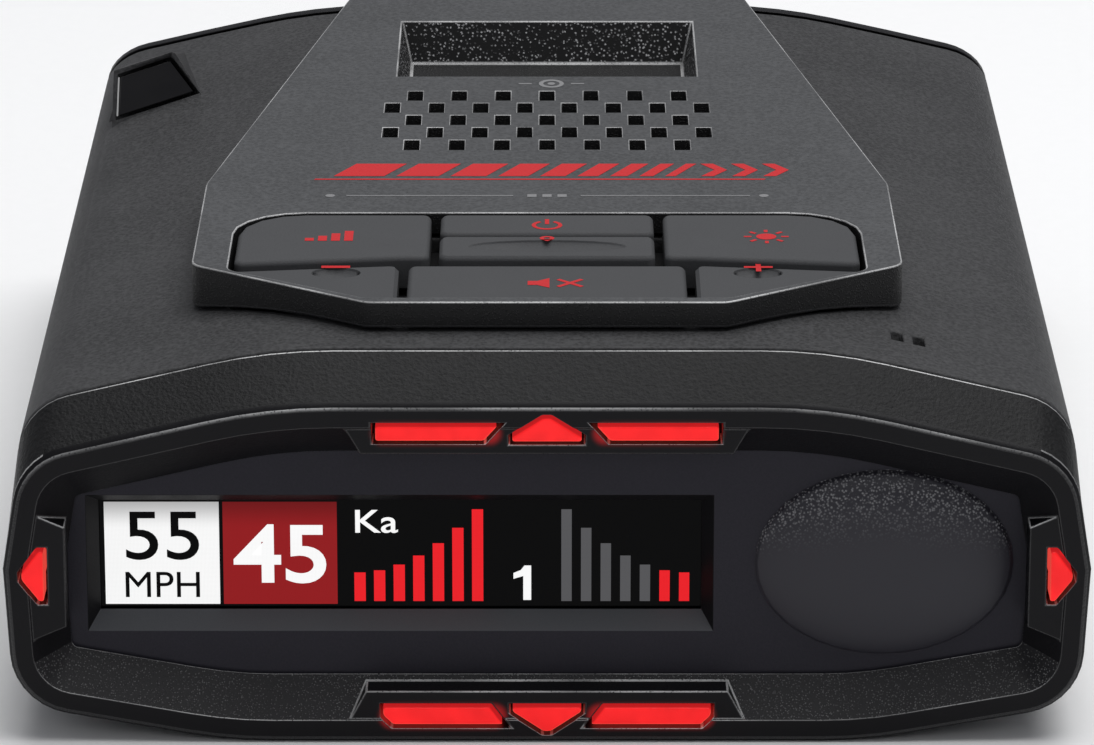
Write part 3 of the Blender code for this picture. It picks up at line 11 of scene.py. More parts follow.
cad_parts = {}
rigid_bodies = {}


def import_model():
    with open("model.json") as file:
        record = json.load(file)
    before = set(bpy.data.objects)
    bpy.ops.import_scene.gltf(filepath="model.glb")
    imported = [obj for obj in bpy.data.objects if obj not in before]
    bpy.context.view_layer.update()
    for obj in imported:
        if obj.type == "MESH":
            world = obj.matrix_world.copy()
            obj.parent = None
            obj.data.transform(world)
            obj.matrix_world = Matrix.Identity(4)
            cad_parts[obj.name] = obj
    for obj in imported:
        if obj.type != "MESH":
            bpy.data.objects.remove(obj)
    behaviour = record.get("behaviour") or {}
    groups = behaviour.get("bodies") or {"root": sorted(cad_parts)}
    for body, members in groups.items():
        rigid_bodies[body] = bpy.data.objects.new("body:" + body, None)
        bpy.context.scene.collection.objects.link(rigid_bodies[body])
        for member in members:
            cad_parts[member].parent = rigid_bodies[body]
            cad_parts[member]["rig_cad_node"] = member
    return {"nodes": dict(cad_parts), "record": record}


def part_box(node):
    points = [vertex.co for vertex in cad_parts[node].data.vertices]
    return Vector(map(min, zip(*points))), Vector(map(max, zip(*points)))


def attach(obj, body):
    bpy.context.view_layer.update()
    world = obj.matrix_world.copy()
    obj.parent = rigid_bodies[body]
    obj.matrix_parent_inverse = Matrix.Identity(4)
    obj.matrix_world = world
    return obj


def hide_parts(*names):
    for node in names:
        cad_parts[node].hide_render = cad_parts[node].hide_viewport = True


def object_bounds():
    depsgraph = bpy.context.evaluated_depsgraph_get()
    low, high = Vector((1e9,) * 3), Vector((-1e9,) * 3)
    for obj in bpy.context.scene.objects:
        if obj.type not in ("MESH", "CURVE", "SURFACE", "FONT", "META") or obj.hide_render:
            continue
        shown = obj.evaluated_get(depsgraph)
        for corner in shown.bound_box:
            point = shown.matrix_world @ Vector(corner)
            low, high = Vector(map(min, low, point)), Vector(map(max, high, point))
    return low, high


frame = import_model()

bl_info = {
    "name": "Radar detector finish",
    "version": (1, 0, 0),
    "blender": (4, 5, 0),
    "location": "3D View > Sidebar > Detector",
    "description": "Finishes a radar detector: edges, grain, printing, lights and display",
    "category": "Add Mesh",
}

MM = 0.001
SMALL_HOLE = 12.0        # way round a hole, in mm, below which its strip is narrower
NODES = frame["nodes"]
CAD_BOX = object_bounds()
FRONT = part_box("front_bezel")[0].y
PANEL_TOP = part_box("control_panel")[1].z
BODY_OF = {
    node: body
    for body, nodes in frame["record"]["behaviour"]["bodies"].items()
    for node in nodes
}
SLOT_OF = {part["node"]: part["material_slot"] for part in frame["record"]["subparts"]}
HOUSING = BODY_OF["top_case"]
KEYS = sorted(node for node in NODES if node.startswith("key_") and BODY_OF[node] != HOUSING)
LIGHTS = sorted(node for node in NODES if node.startswith("light_"))
MADE = {}        # finishes made so far, by material slot


# ---- settings ----------------------------------------------------------------------------

def length(name, description, default):
    """A size in metres."""
    return bpy.props.FloatProperty(
        name=name, description=description, default=default, min=0.0, unit="LENGTH"
    )


def colour(name, description, default):
    """A colour in linear light."""
    return bpy.props.FloatVectorProperty(
        name=name, description=description, default=default, size=3, subtype="COLOR",
        min=0.0, max=1.0,
    )


class DetectorSizes(bpy.types.PropertyGroup):
    """Edge radii and print heights."""

    case_edge: length("Case edge", "Radius of the case's edges", 0.25 * MM)
    panel_edge: length("Panel edge", "Radius of the control panel's rim", 0.26 * MM)
    bezel_edge: length("Bezel edge", "Radius of the bezel's edges", 0.30 * MM)
    key_edge: length("Key edge", "Radius of the keys' edges", 0.16 * MM)
    light_edge: length("Light edge", "Radius of the light pipes' edges", 0.22 * MM)
    small_edge: length("Small edge", "Radius of small trim edges", 0.12 * MM)
    ink: length("Ink", "Height of printing over its surface", 0.02 * MM)
    case_grain: length("Case grain", "Size of the case's grain", 0.26 * MM)
    brow_grain: length("Brow grain", "Size of the bezel's coarse grain", 0.15 * MM)
    halo: length("Halo", "Reach of the lights' spill on the bezel", 0.8 * MM)


class DetectorColours(bpy.types.PropertyGroup):
    """Colours of the finishes."""

    case: colour("Case", "Soft black case", (0.046, 0.046, 0.0475))
    panel: colour("Panel", "Dark grey control panel", (0.070, 0.0715, 0.0745))
    keys: colour("Keys", "Rubber keys", (0.064, 0.065, 0.068))
    bezel: colour("Bezel", "Black bezel", (0.0058, 0.0056, 0.0068))
    brow: colour("Brow", "Coarse band above the bezel", (0.0085, 0.0085, 0.0090))
    fascia: colour("Fascia", "Panel around the display", (0.0235, 0.0225, 0.0295))
    light: colour("Light", "Lit red of the alert lights", (0.84, 0.016, 0.018))
    print_red: colour("Print red", "Red ink", (0.56, 0.010, 0.014))
    print_grey: colour("Print grey", "Grey ink", (0.22, 0.22, 0.225))
    screen_red: colour("Screen red", "Red of the display", (0.80, 0.012, 0.018))
    screen_dark_red: colour("Screen dark red", "Red field of the display", (0.27, 0.008, 0.010))
    screen_grey: colour("Screen grey", "Unlit bars of the display", (0.085, 0.085, 0.09))
    floor: colour("Floor", "Pale floor", (0.90, 0.90, 0.90))


def sizes():
    """The sizes set in the sidebar."""
    return bpy.context.scene.detector_sizes


def colours():
    """The colours set in the sidebar."""
    return bpy.context.scene.detector_colours


# ---- node trees --------------------------------------------------------------------------

class Wire:
    """Output socket of a node, for use in Python expressions."""

    def __init__(self, graph, socket):
        self.graph = graph
        self.socket = socket

    def maths(self, operation, first, second=None):
        inputs = {0: first} if second is None else {0: first, 1: second}
        return self.graph.node(self.graph.maths_node, {"operation": operation}, inputs)

    def __add__(self, other):
        return self.maths("ADD", self, other)

    def __radd__(self, other):
        return self.maths("ADD", other, self)

    def __sub__(self, other):
        return self.maths("SUBTRACT", self, other)

    def __rsub__(self, other):
        return self.maths("SUBTRACT", other, self)

    def __mul__(self, other):
        return self.maths("MULTIPLY", self, other)

    def __rmul__(self, other):
        return self.maths("MULTIPLY", other, self)

    def __truediv__(self, other):
        return self.maths("DIVIDE", self, other)

    def __rtruediv__(self, other):
        return self.maths("DIVIDE", other, self)

    def __pow__(self, other):
        return self.maths("POWER", self, other)

    def __rpow__(self, other):
        return self.maths("POWER", other, self)

    def __abs__(self):
        return self.maths("ABSOLUTE", self)

    def ramp(self, low, high, start=0.0, end=1.0):
        """Smooth step from start to end as the value goes from low to high."""
        settings = {"interpolation_type": "SMOOTHSTEP"}
        inputs = {"Value": self, "From Min": low, "From Max": high, "To Min": start, "To Max": end}
        return self.graph.node("ShaderNodeMapRange", settings, inputs)


class Graph:
    """Node tree with one method that adds any node."""

    maths_node = "ShaderNodeMath"

    def __init__(self, tree):
        self.tree = tree

    def node(self, kind, settings=None, inputs=None, output=0):
        """Add a node: its settings first, then the values or links of its sockets."""
        item = self.tree.nodes.new(kind)
        for key, value in (settings or {}).items():
            setattr(item, key, value)
        for key, value in (inputs or {}).items():
            self.feed(item.inputs[key], value)
        return Wire(self, item.outputs[output]) if len(item.outputs) else item

    def feed(self, socket, value):
        """Link a wire to a socket, or set the socket's own value."""
        if isinstance(value, Wire):
            self.tree.links.new(value.socket, socket)
        elif socket.type == "RGBA":
            socket.default_value = (*value[:3], 1.0)
        else:
            socket.default_value = value


class Finish(Graph):
    """Shader tree of one material."""

    def __init__(self, name, **values):
        self.material = bpy.data.materials.new(name)
        self.material.use_nodes = True
        super().__init__(self.material.node_tree)
        self.shader = self.tree.nodes["Principled BSDF"]
        self.set(**values)

    def set(self, **values):
        """Feed the shader's sockets; an underscore in a name is a space."""
        for key, value in values.items():
            self.feed(self.shader.inputs[key.replace("_", " ")], value)
        return self.material

    def place(self):
        """Object coordinates, in metres."""
        return self.node("ShaderNodeTexCoord", output=3)

    def axes(self):
        """Object coordinates as three wires, in millimetres."""
        split = self.node("ShaderNodeSeparateXYZ", None, {0: self.place()})
        outputs = split.socket.node.outputs
        return [Wire(self, out) * (1 / MM) for out in outputs]

    def facing(self):
        """The surface's own direction as three wires."""
        normal = self.node("ShaderNodeTexCoord", output=1)
        split = self.node("ShaderNodeSeparateXYZ", None, {0: normal})
        return [Wire(self, out) for out in split.socket.node.outputs]

    def noise(self, size, detail=3.0, roughness=0.55, stretch=(1, 1, 1), sharp=False):
        """Noise whose features are about a size across, in metres."""
        place = self.node("ShaderNodeMapping", None, {"Vector": self.place(), "Scale": stretch})
        inputs = {"Vector": place, "Scale": 1 / size, "Detail": detail, "Roughness": roughness}
        settings = {"noise_type": "RIDGED_MULTIFRACTAL"} if sharp else {}
        return self.node("ShaderNodeTexNoise", settings, inputs)

    def cells(self, size, feature="F1"):
        """Distance within cells of about a size across, in metres."""
        inputs = {"Vector": self.place(), "Scale": 1 / size}
        return self.node("ShaderNodeTexVoronoi", {"feature": feature}, inputs)

    def blend(self, mask, first, second):
        """Colour that goes from first to second as the mask goes from 0 to 1."""
        inputs = {0: mask, 6: first, 7: second}
        return self.node("ShaderNodeMix", {"data_type": "RGBA"}, inputs, output=2)

    def shades(self, mask, base, darker, lighter):
        """Blend between a darker and a lighter shade of one colour."""
        low = tuple(channel * darker for channel in base)
        high = tuple(channel * lighter for channel in base)
        return self.blend(mask, low, high)

    def spill(self, reach):
        """Painted shine of the alert lights on what is around them, which that surface gives off itself as a
        glow.
        """
        x, _, z = self.axes()
        shine = 0.0
        for node in LIGHTS:
            low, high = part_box(node)
            if high.x < 0 or "arrow" in node or "side" in node:
                continue
            middle, half = (low + high) / (2 * MM), (high - low) / (2 * MM)
            across = abs(abs(x) - middle.x) - half.x + half.z
            upward = abs(z - middle.z)
            across = across.maths("MAXIMUM", across, 0.0)
            away = (across * across + upward * upward) ** 0.5 - half.z
            glow = away.ramp(-0.1, mm(reach), 1.0, 0.0)
            shine = shine + glow * glow
        return shine

    def relief(self, height, strength, distance):
        """Bump from a height; the distance is in metres."""
        inputs = {"Strength": strength, "Distance": distance, "Height": height}
        return self.node("ShaderNodeBump", None, inputs)


# ---- finishes ----------------------------------------------------------------------------

def moulded(name, base, roughness, grain, relief=0.5, contrast=0.25, specular=0.13):
    """Moulded plastic: spark-eroded grain, faint drift of colour and uneven gloss."""
    finish = Finish(name, Specular_IOR_Level=specular)
    fine = finish.noise(grain, 4.0, 0.62)
    pits = finish.cells(grain * 1.7)
    drift = finish.noise(18 * MM, 2.0)
    speck = (fine * 0.7 + pits * 0.3 + drift * 0.25).ramp(0.35, 0.85)
    finish.set(
        Base_Color=finish.shades(speck, base, 1 - contrast, 1 + contrast),
        Roughness=fine.ramp(0.3, 0.7, roughness - 0.07, roughness + 0.07),
        Normal=finish.relief(fine + pits * 0.5, relief, grain * 0.35),
    )
    return finish.material


def sparkling(name, base, tip, grain, relief=0.7, specular=0.3):
    """Coarse grain whose tips are painted pale one by one as sparkle highlights; its relief and gloss are real.
    """
    finish = Finish(name, Specular_IOR_Level=specular)
    cells = finish.cells(grain)
    fine = finish.noise(grain * 0.7, 3.0, 0.7)
    drift = finish.noise(7 * MM, 2.0)
    peaks_and_sparkle = (cells + fine * 0.7 + drift * 0.2).ramp(0.5, 0.95, 1.0, 0.0)
    finish.set(
        # painted highlight: the grain's peaks are coloured towards the pale sparkle tone
        Base_Color=finish.blend(peaks_and_sparkle * peaks_and_sparkle, base, (tip, tip, tip * 1.02)),
        Roughness=peaks_and_sparkle.ramp(0.0, 1.0, 0.55, 0.3),
        Normal=finish.relief(peaks_and_sparkle, relief, grain * 0.3),
    )
    return finish.material


def rubber(name, base):
    """Matt rubber with a dusty bloom and a very fine grain."""
    finish = Finish(name, Specular_IOR_Level=0.14)
    fine = finish.noise(0.16 * MM, 4.0, 0.6)
    bloom = finish.noise(4 * MM, 3.0)
    finish.set(
        Base_Color=finish.shades(fine * 0.7 + bloom * 0.4, base, 0.72, 1.3),
        Roughness=bloom.ramp(0.3, 0.7, 0.58, 0.72),
        Normal=finish.relief(fine, 0.5, 0.05 * MM),
    )
    return finish.material


def gloss(name, base, roughness=0.06, specular=0.5):
    """Polished plastic with faint haze and wipe marks."""
    finish = Finish(name, Specular_IOR_Level=specular)
    haze = finish.noise(6 * MM, 4.0, 0.6, stretch=(1, 1, 3))
    dust = finish.noise(0.25 * MM, 2.0)
    finish.set(
        Base_Color=finish.shades(haze, base, 0.8, 1.25),
        Roughness=haze.ramp(0.3, 0.75, roughness, roughness + 0.08),
        Normal=finish.relief(dust, 0.05, 0.01 * MM),
    )
    return finish.material


def metal(name, base, roughness, brush=(1, 12, 12)):
    """Metal with brushed streaks and small dents."""
    finish = Finish(name, Specular_IOR_Level=0.5)
    streaks = finish.noise(0.8 * MM, 5.0, 0.7, stretch=brush)
    dents = finish.noise(3 * MM, 2.0)
    finish.set(
        Base_Color=finish.shades(streaks, base, 0.8, 1.12),
        Metallic=dents.ramp(0.1, 0.5, 0.92, 1.0),
        Roughness=streaks.ramp(0.2, 0.8, roughness - 0.08, roughness + 0.1),
        Normal=finish.relief(streaks + dents, 0.2, 0.03 * MM),
    )
    return finish.material


def circuit(name, base):
    """Solder mask over copper tracks, with pads and plated holes."""
    finish = Finish(name, Specular_IOR_Level=0.5)
    x, y, z = finish.axes()
    weave = finish.noise(0.3 * MM, 2.0)
    blocks = finish.node(
        "ShaderNodeTexVoronoi", {"distance": "MANHATTAN", "feature": "SMOOTH_F1"},
        {"Vector": finish.place(), "Scale": 1 / (5 * MM)},
    )
    tracks = abs(((x + y) * 0.9 + blocks * 6).maths("FRACT", (x + y) * 0.9 + blocks * 6) - 0.5)
    copper = tracks.ramp(0.14, 0.2)
    pads = finish.cells(2.4 * MM).ramp(0.10, 0.16, 1.0, 0.0)
    mask = finish.shades(copper, base, 0.7, 1.5)
    finish.set(
        Base_Color=finish.blend(pads, mask, (0.55, 0.45, 0.25)),
        Metallic=pads * 0.9,
        Roughness=copper.ramp(0, 1, 0.42, 0.32) - pads * 0.1,
        Normal=finish.relief(copper + pads + weave * 0.1, 0.4, 0.04 * MM),
    )
    return finish.material


def cloth(name, base):
    """Fine woven wire and thread, darker between its threads."""
    finish = Finish(name, Specular_IOR_Level=0.3)
    fibre = finish.noise(0.12 * MM, 4.0, 0.7)
    finish.set(
        Base_Color=finish.shades(fibre, base, 0.6, 1.6),
        Roughness=fibre.ramp(0.2, 0.8, 0.7, 0.95),
        Normal=finish.relief(fibre, 0.6, 0.04 * MM),
    )
    return finish.material


def ceramic(name, base):
    """Unglazed ceramic with fine speckles."""
    finish = Finish(name, Specular_IOR_Level=0.4)
    speck = finish.noise(0.3 * MM, 5.0, 0.8)
    cloud = finish.noise(3 * MM, 2.0)
    finish.set(
        Base_Color=finish.shades(speck * 0.6 + cloud * 0.5, base, 0.8, 1.12),
        Roughness=speck.ramp(0.2, 0.8, 0.4, 0.6),
        Normal=finish.relief(speck, 0.3, 0.03 * MM),
    )
    return finish.material


def ink(name, base, roughness=0.5):
    """Screen-printed ink, a little thin over the grain below it."""
    finish = Finish(name, Specular_IOR_Level=0.35)
    grain = finish.noise(0.16 * MM, 3.0, 0.7)
    finish.set(
        Base_Color=finish.shades(grain, base, 0.75, 1.2),
        Roughness=grain.ramp(0.2, 0.8, roughness - 0.08, roughness + 0.1),
        Normal=finish.relief(grain, 0.3, 0.02 * MM),
    )
    return finish.material


def bezel_finish(name, base, light):
    """Black bezel plastic with the red shine of the lights painted on it as a glow."""
    finish = Finish(name, Specular_IOR_Level=0.14, Emission_Strength=1.0)
    fine = finish.noise(0.14 * MM, 4.0, 0.62)
    drift = finish.noise(14 * MM, 2.0)
    painted_spill = finish.spill(sizes().halo)
    finish.set(
        Base_Color=finish.shades(fine * 0.6 + drift * 0.4, base, 0.7, 1.3),
        Roughness=fine.ramp(0.3, 0.7, 0.34, 0.5),
        # painted light: the bezel itself glows red near the lights
        Emission_Color=finish.blend(painted_spill, (0, 0, 0), tuple(channel * 0.30 for channel in light)),
        Normal=finish.relief(fine, 0.25, 0.05 * MM),
    )
    return finish.material


def glint(name, base, strength=1.0):
    """Rounded edge with a painted highlight: the grain's tips are painted pale where it faces up towards the
    light, in patches along the edge.
    """
    finish = Finish(name, Specular_IOR_Level=0.45)
    _, _, upward = finish.facing()
    tips = finish.cells(0.22 * MM)
    fine = finish.noise(0.12 * MM, 3.0, 0.7)
    highlight_patches = finish.noise(9 * MM, 2.0).ramp(0.3, 0.7, 0.35, 1.0)
    # painted highlight, only on faces that look up, broken into patches
    shine = upward.ramp(0.05, 0.6) * (tips + fine).ramp(0.45, 0.95) * highlight_patches
    finish.set(
        Base_Color=finish.blend(shine, base, (0.55 * strength,) * 3),
        Roughness=fine.ramp(0.3, 0.7, 0.22, 0.4),
        Normal=finish.relief(tips + fine, 0.5, 0.06 * MM),
    )
    return finish.material


def lit_pipe(name, base):
    """Light pipe lit from behind: an even core, hot spots and bevelled edges with painted highlight and shade,
    paler where they face down.
    """
    finish = Finish(name, Specular_IOR_Level=0.15, Emission_Strength=1.0)
    _, toward, upward = finish.facing()
    flank = abs(toward).ramp(0.35, 0.97, 1.0, 0.0)
    pool = finish.noise(2.2 * MM, 2.0)
    core = finish.shades(pool.ramp(0.3, 0.7), base, 0.78, 0.96)
    # painted highlight and shade on the bevels: paler facing down, darker facing up
    edge = finish.blend(upward.ramp(-0.5, 0.5), (0.95, 0.13, 0.09), (0.42, 0.012, 0.014))
    finish.set(
        Base_Color=finish.shades(pool, base, 0.35, 0.5),
        Roughness=pool.ramp(0.2, 0.8, 0.14, 0.26),
        Emission_Color=finish.blend(flank * 0.8, core, edge),
        Normal=finish.relief(pool, 0.15, 0.05 * MM),
    )
    return finish.material


def screen(name, base, strength=1.0, roughness=0.2, top=1.0):
    """Lit display element with the fine grid of its dots, and painted shade that dims it towards the top, under
    the bezel's top.
    """
    finish = Finish(name, Specular_IOR_Level=0.1, Emission_Strength=strength)
    x, _, z = finish.axes()
    grid = (x * 9).maths("PINGPONG", x * 9, 0.5) * (z * 9).maths("PINGPONG", z * 9, 0.5)
    haze = finish.noise(3 * MM, 2.0)
    lit = finish.shades(grid.ramp(0.0, 0.1) * 0.8 + haze * 0.2, base, 0.9, 1.03)
    painted_shade_tone = tuple(channel * top for channel in base)
    # painted shade: the element fades to a darker tone towards its top
    glow = finish.blend(z.ramp(16.6, 19.3), lit, painted_shade_tone)
    finish.set(
        Base_Color=finish.shades(haze, base, 0.10, 0.14),
        Roughness=haze.ramp(0.3, 0.7, roughness, roughness + 0.05),
        Emission_Color=glow,
    )
    return finish.material


def finish_for(slot):
    """Material for one of the record's slots, made once."""
    if slot in MADE:
        return MADE[slot]
    c = colours()
    s = sizes()
    makers = {
        "case_plastic": lambda: moulded(slot, c.case, 0.56, s.case_grain, 0.6, 0.4),
        "radome_plastic": lambda: moulded(slot, c.case, 0.5, s.case_grain, 0.6),
        "panel_plastic": lambda: moulded(slot, c.panel, 0.52, s.case_grain, 0.45, 0.28),
        "bezel_plastic": lambda: bezel_finish(slot, c.bezel, c.light),
        "key_rubber": lambda: rubber(slot, c.keys),
        "light_pipe": lambda: lit_pipe(slot, c.light),
        "display_glass": lambda: gloss(slot, (0.0012, 0.0012, 0.0014), 0.12, 0.06),
        "smoked_window": lambda: gloss(slot, (0.004, 0.0035, 0.0045), 0.12),
        "black_nylon": lambda: moulded(slot, (0.012, 0.012, 0.012), 0.5, 0.3 * MM),
        "mat_rubber": lambda: rubber(slot, (0.012, 0.012, 0.013)),
        "circuit_board": lambda: circuit(slot, (0.012, 0.075, 0.03)),
        "tinned_steel": lambda: metal(slot, (0.56, 0.56, 0.54), 0.3),
        "cast_zinc": lambda: metal(slot, (0.42, 0.42, 0.41), 0.42, (2, 2, 2)),
        "magnet": lambda: metal(slot, (0.50, 0.49, 0.47), 0.25),
        "speaker_cloth": lambda: cloth(slot, (0.060, 0.060, 0.062)),
        "ceramic": lambda: ceramic(slot, (0.62, 0.55, 0.42)),
        "label": lambda: ink(slot, (0.20, 0.20, 0.205), 0.42),
        "screw_steel": lambda: metal(slot, (0.09, 0.09, 0.092), 0.34, (3, 3, 3)),
    }
    MADE[slot] = makers[slot]()
    return MADE[slot]


# ---- meshes ------------------------------------------------------------------------------

def mm(value):
    """Metres to millimetres."""
    return value / MM


def depth_of(point):
    """Distance behind the bezel's front, in millimetres."""
    return mm(point.y - FRONT)


def put(name, mesh, materials, body, slot):
    """Add a finished piece at the origin, riding on its body."""
    item = bpy.data.objects.new(name, mesh)
    bpy.context.scene.collection.objects.link(item)
    mesh.materials.clear()
    for material in materials:
        mesh.materials.append(material)
    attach(item, body)
    return item


def clean_copy(node):
    """Merged copy of a CAD node's mesh in millimetres, with its flat faces whole."""
    work = bmesh.new()
    work.from_mesh(NODES[node].data)
    bmesh.ops.scale(work, vec=(1 / MM, 1 / MM, 1 / MM), verts=work.verts)
    bmesh.ops.remove_doubles(work, verts=work.verts, dist=0.03)
    bmesh.ops.dissolve_limit(
        work, angle_limit=math.radians(0.3), verts=work.verts, edges=work.edges
    )
    return work


def border_loops(faces):
    """Ordered corners around a group of faces, its inner borders among them."""
    group = set(faces)
    edge_of = {
        loop for face in faces for loop in face.loops
        if sum(1 for other in loop.edge.link_faces if other in group) == 1
    }
    borders = []
    while edge_of:
        first = edge_of.pop()
        border = [first.vert]
        loop = first
        while True:
            loop = loop.link_loop_next
            while loop not in edge_of and loop is not first:
                loop = loop.link_loop_radial_next.link_loop_next
            if loop is first:
                break
            edge_of.discard(loop)
            border.append(loop.vert)
        borders.append(border)
    return borders


def inside(x, y, spans):
    """Whether a point lies in the area that spans enclose, its holes left out."""
    crossings = 0
    for start, end in spans:
        if (start.y > y) != (end.y > y):
            across = start.x + (y - start.y) * (end.x - start.x) / (end.y - start.y)
            crossings += across > x
    return crossings % 2 == 1


def edge_rings(work, normal, level, reach):
    """Give a flat face an even strip along its borders, so that their rounding stays even."""
    faces = [
        face for face in work.faces
        if face.normal.dot(normal) > 0.9999
        and abs(face.calc_center_median().dot(normal) - level) < 0.02
    ]
    borders = border_loops(faces)
    bmesh.ops.delete(work, geom=faces, context="FACES_ONLY")
    right = normal.orthogonal().normalized()
    up = normal.cross(right)
    corners = []
    spans = []
    for border in borders:
        first = len(corners)
        around = sum((v.co - border[step - 1].co).length for step, v in enumerate(border))
        strip = reach if around > SMALL_HOLE else reach * 0.45
        for step, vertex in enumerate(border):
            before = (vertex.co - border[step - 1].co).normalized()
            after = (border[(step + 1) % len(border)].co - vertex.co).normalized()
            sides = normal.cross(before), normal.cross(after)
            shift = (sides[0] + sides[1]) * (strip / (1.0 + sides[0].dot(sides[1])))
            corners.append(work.verts.new(vertex.co + shift))
        for step, vertex in enumerate(border):
            after = (step + 1) % len(border)
            spans.append((first + step, first + after))
            ring = (vertex, border[after], corners[first + after], corners[first + step])
            work.faces.new(ring)
    flat = [Vector((corner.co.dot(right), corner.co.dot(up))) for corner in corners]
    filled = delaunay_2d_cdt(flat, spans, [], 1, 1e-6)
    for triangle in filled[2]:
        turned = [corners[filled[3][index][0]] for index in triangle]
        middle = sum((corner.co for corner in turned), Vector()) / 3
        if inside(middle.dot(right), middle.dot(up), [(flat[a], flat[b]) for a, b in spans]):
            work.faces.new(turned)


def turn_at(vertex, first, second):
    """Angle between one edge and the continuation of another at a shared corner."""
    there = first.other_vert(vertex).co - vertex.co
    onward = second.other_vert(vertex).co - vertex.co
    return math.pi - there.angle(onward)


def room_beside(line, sharp_edges):
    """Widest rounding that an edge's neighbours leave room for."""
    room = 10.0
    for vertex in line.verts:
        for other in vertex.link_edges:
            if other is line:
                continue
            turn = turn_at(vertex, line, other)
            if other in sharp_edges:
                room = min(room, 0.45 * other.calc_length() / max(math.tan(turn / 2), 0.02))
            else:
                room = min(room, 0.45 * other.calc_length() * math.sin(turn))
    return room


def edge_runs(sharp_edges):
    """Groups of sharp edges that carry on from each other."""
    left = set(sharp_edges)
    runs = []
    while left:
        run = [left.pop()]
        for line in run:
            for vertex in line.verts:
                for other in vertex.link_edges:
                    if other in left and turn_at(vertex, line, other) < math.radians(50.0):
                        left.discard(other)
                        run.append(other)
        runs.append(run)
    return runs


def dressed(
    node, edge, weight=None, bands=None, extra=(), steps=3, sharp=28.0, flat=(), trim=-1
):
    """Stand-in for a CAD node with rounded edges.

    weight gives a share of the edge radius from an edge's middle, bands an index into the
    slot's material and the extra ones from a face, flat the direction, the level and the
    strip's width in edge radii for each flat face whose borders need even strips, and trim
    the index of the rounded edges' own material.
    """
    work = clean_copy(node)
    width = mm(edge)
    for direction, level, share in flat:
        edge_rings(work, Vector(direction), mm(level), width * share)
    work.normal_update()
    layer = work.edges.layers.float.new("bevel_weight_edge")
    for line in work.edges:
        line.smooth = True
    sharp_edges = {
        line for line in work.edges
        if line.is_manifold and line.calc_face_angle() > math.radians(sharp)
    }
    for run in edge_runs(sharp_edges):
        room = min(room_beside(line, sharp_edges) for line in run) / width
        for line in run:
            middle = (line.verts[0].co + line.verts[1].co) * MM / 2
            share = weight(middle) if weight else 1.0
            line[layer] = min(share, room)
            line.smooth = share > 0
    for face in work.faces:
        face.smooth = True
        face.material_index = bands(face) if bands else 0
    bmesh.ops.scale(work, vec=(MM, MM, MM), verts=work.verts)
    mesh = bpy.data.meshes.new(node + "_finished")
    work.to_mesh(mesh)
    work.free()
    indices = [polygon.material_index for polygon in mesh.polygons]
    slot = SLOT_OF[node]
    item = put(node + "_finished", mesh, [finish_for(slot), *extra], BODY_OF[node], slot)
    for polygon, index in zip(mesh.polygons, indices):
        polygon.material_index = index
    bevel = item.modifiers.new("Rounded edges", "BEVEL")
    bevel.limit_method = "WEIGHT"
    bevel.width = edge
    bevel.segments = steps
    bevel.use_clamp_overlap = False
    bevel.miter_outer = "MITER_SHARP"
    bevel.material = trim
    item.modifiers.new("Even shading", "WEIGHTED_NORMAL").keep_sharp = True
    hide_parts(node)
    return item


def solid_from(outlines, point, thickness):
    """Mesh of flat outlines given a thickness; point turns (a, b, height) into a place."""
    work = bmesh.new()
    for outline in outlines:
        low = [work.verts.new(point(a, b, 0.0)) for a, b in outline]
        high = [work.verts.new(point(a, b, thickness)) for a, b in outline]
        work.faces.new(low)
        work.faces.new(high)
        for step in range(len(outline)):
            after = (step + 1) % len(outline)
            work.faces.new((low[step], low[after], high[after], high[step]))
    bmesh.ops.recalc_face_normals(work, faces=work.faces)
    mesh = bpy.data.meshes.new("print")
    work.to_mesh(mesh)
    work.free()
    return mesh


def printed(name, outlines, height, material, body, slot):
    """Ink on an upward-facing surface; outlines are (x, depth) in millimetres."""
    lift = sizes().ink

    def point(x, depth, up):
        return (x * MM, FRONT + depth * MM, height + lift * (0.5 + up))

    return put(name, solid_from(outlines, point, 1.0), [material], body, slot)


def bar(x0, x1, y0, y1, slant=0.0):
    """Outline of a bar whose far end leans to the right."""
    return [(x0, y0), (x1, y0), (x1 + slant, y1), (x0 + slant, y1)]


def arc_band(x, y, inner, outer, start=0.0, end=360.0, steps=28, squash=1.0):
    """Outlines that make a band along an arc, in degrees anticlockwise from +X."""
    pieces = []
    for step in range(steps):
        turns = [math.radians(start + (end - start) * (step + s) / steps) for s in (0, 1)]
        corners = []
        for turn, radius in ((turns[0], inner), (turns[0], outer), (turns[1], outer), (turns[1], inner)):
            corners.append((x + radius * math.cos(turn), y + squash * radius * math.sin(turn)))
        pieces.append(corners)
    return pieces


def disc(x, y, radius, steps=24, squash=1.0):
    """Outline of a round dot."""
    turns = [2 * math.pi * step / steps for step in range(steps)]
    return [(x + radius * math.cos(a), y + squash * radius * math.sin(a)) for a in turns]


# ---- geometry node trees -----------------------------------------------------------------

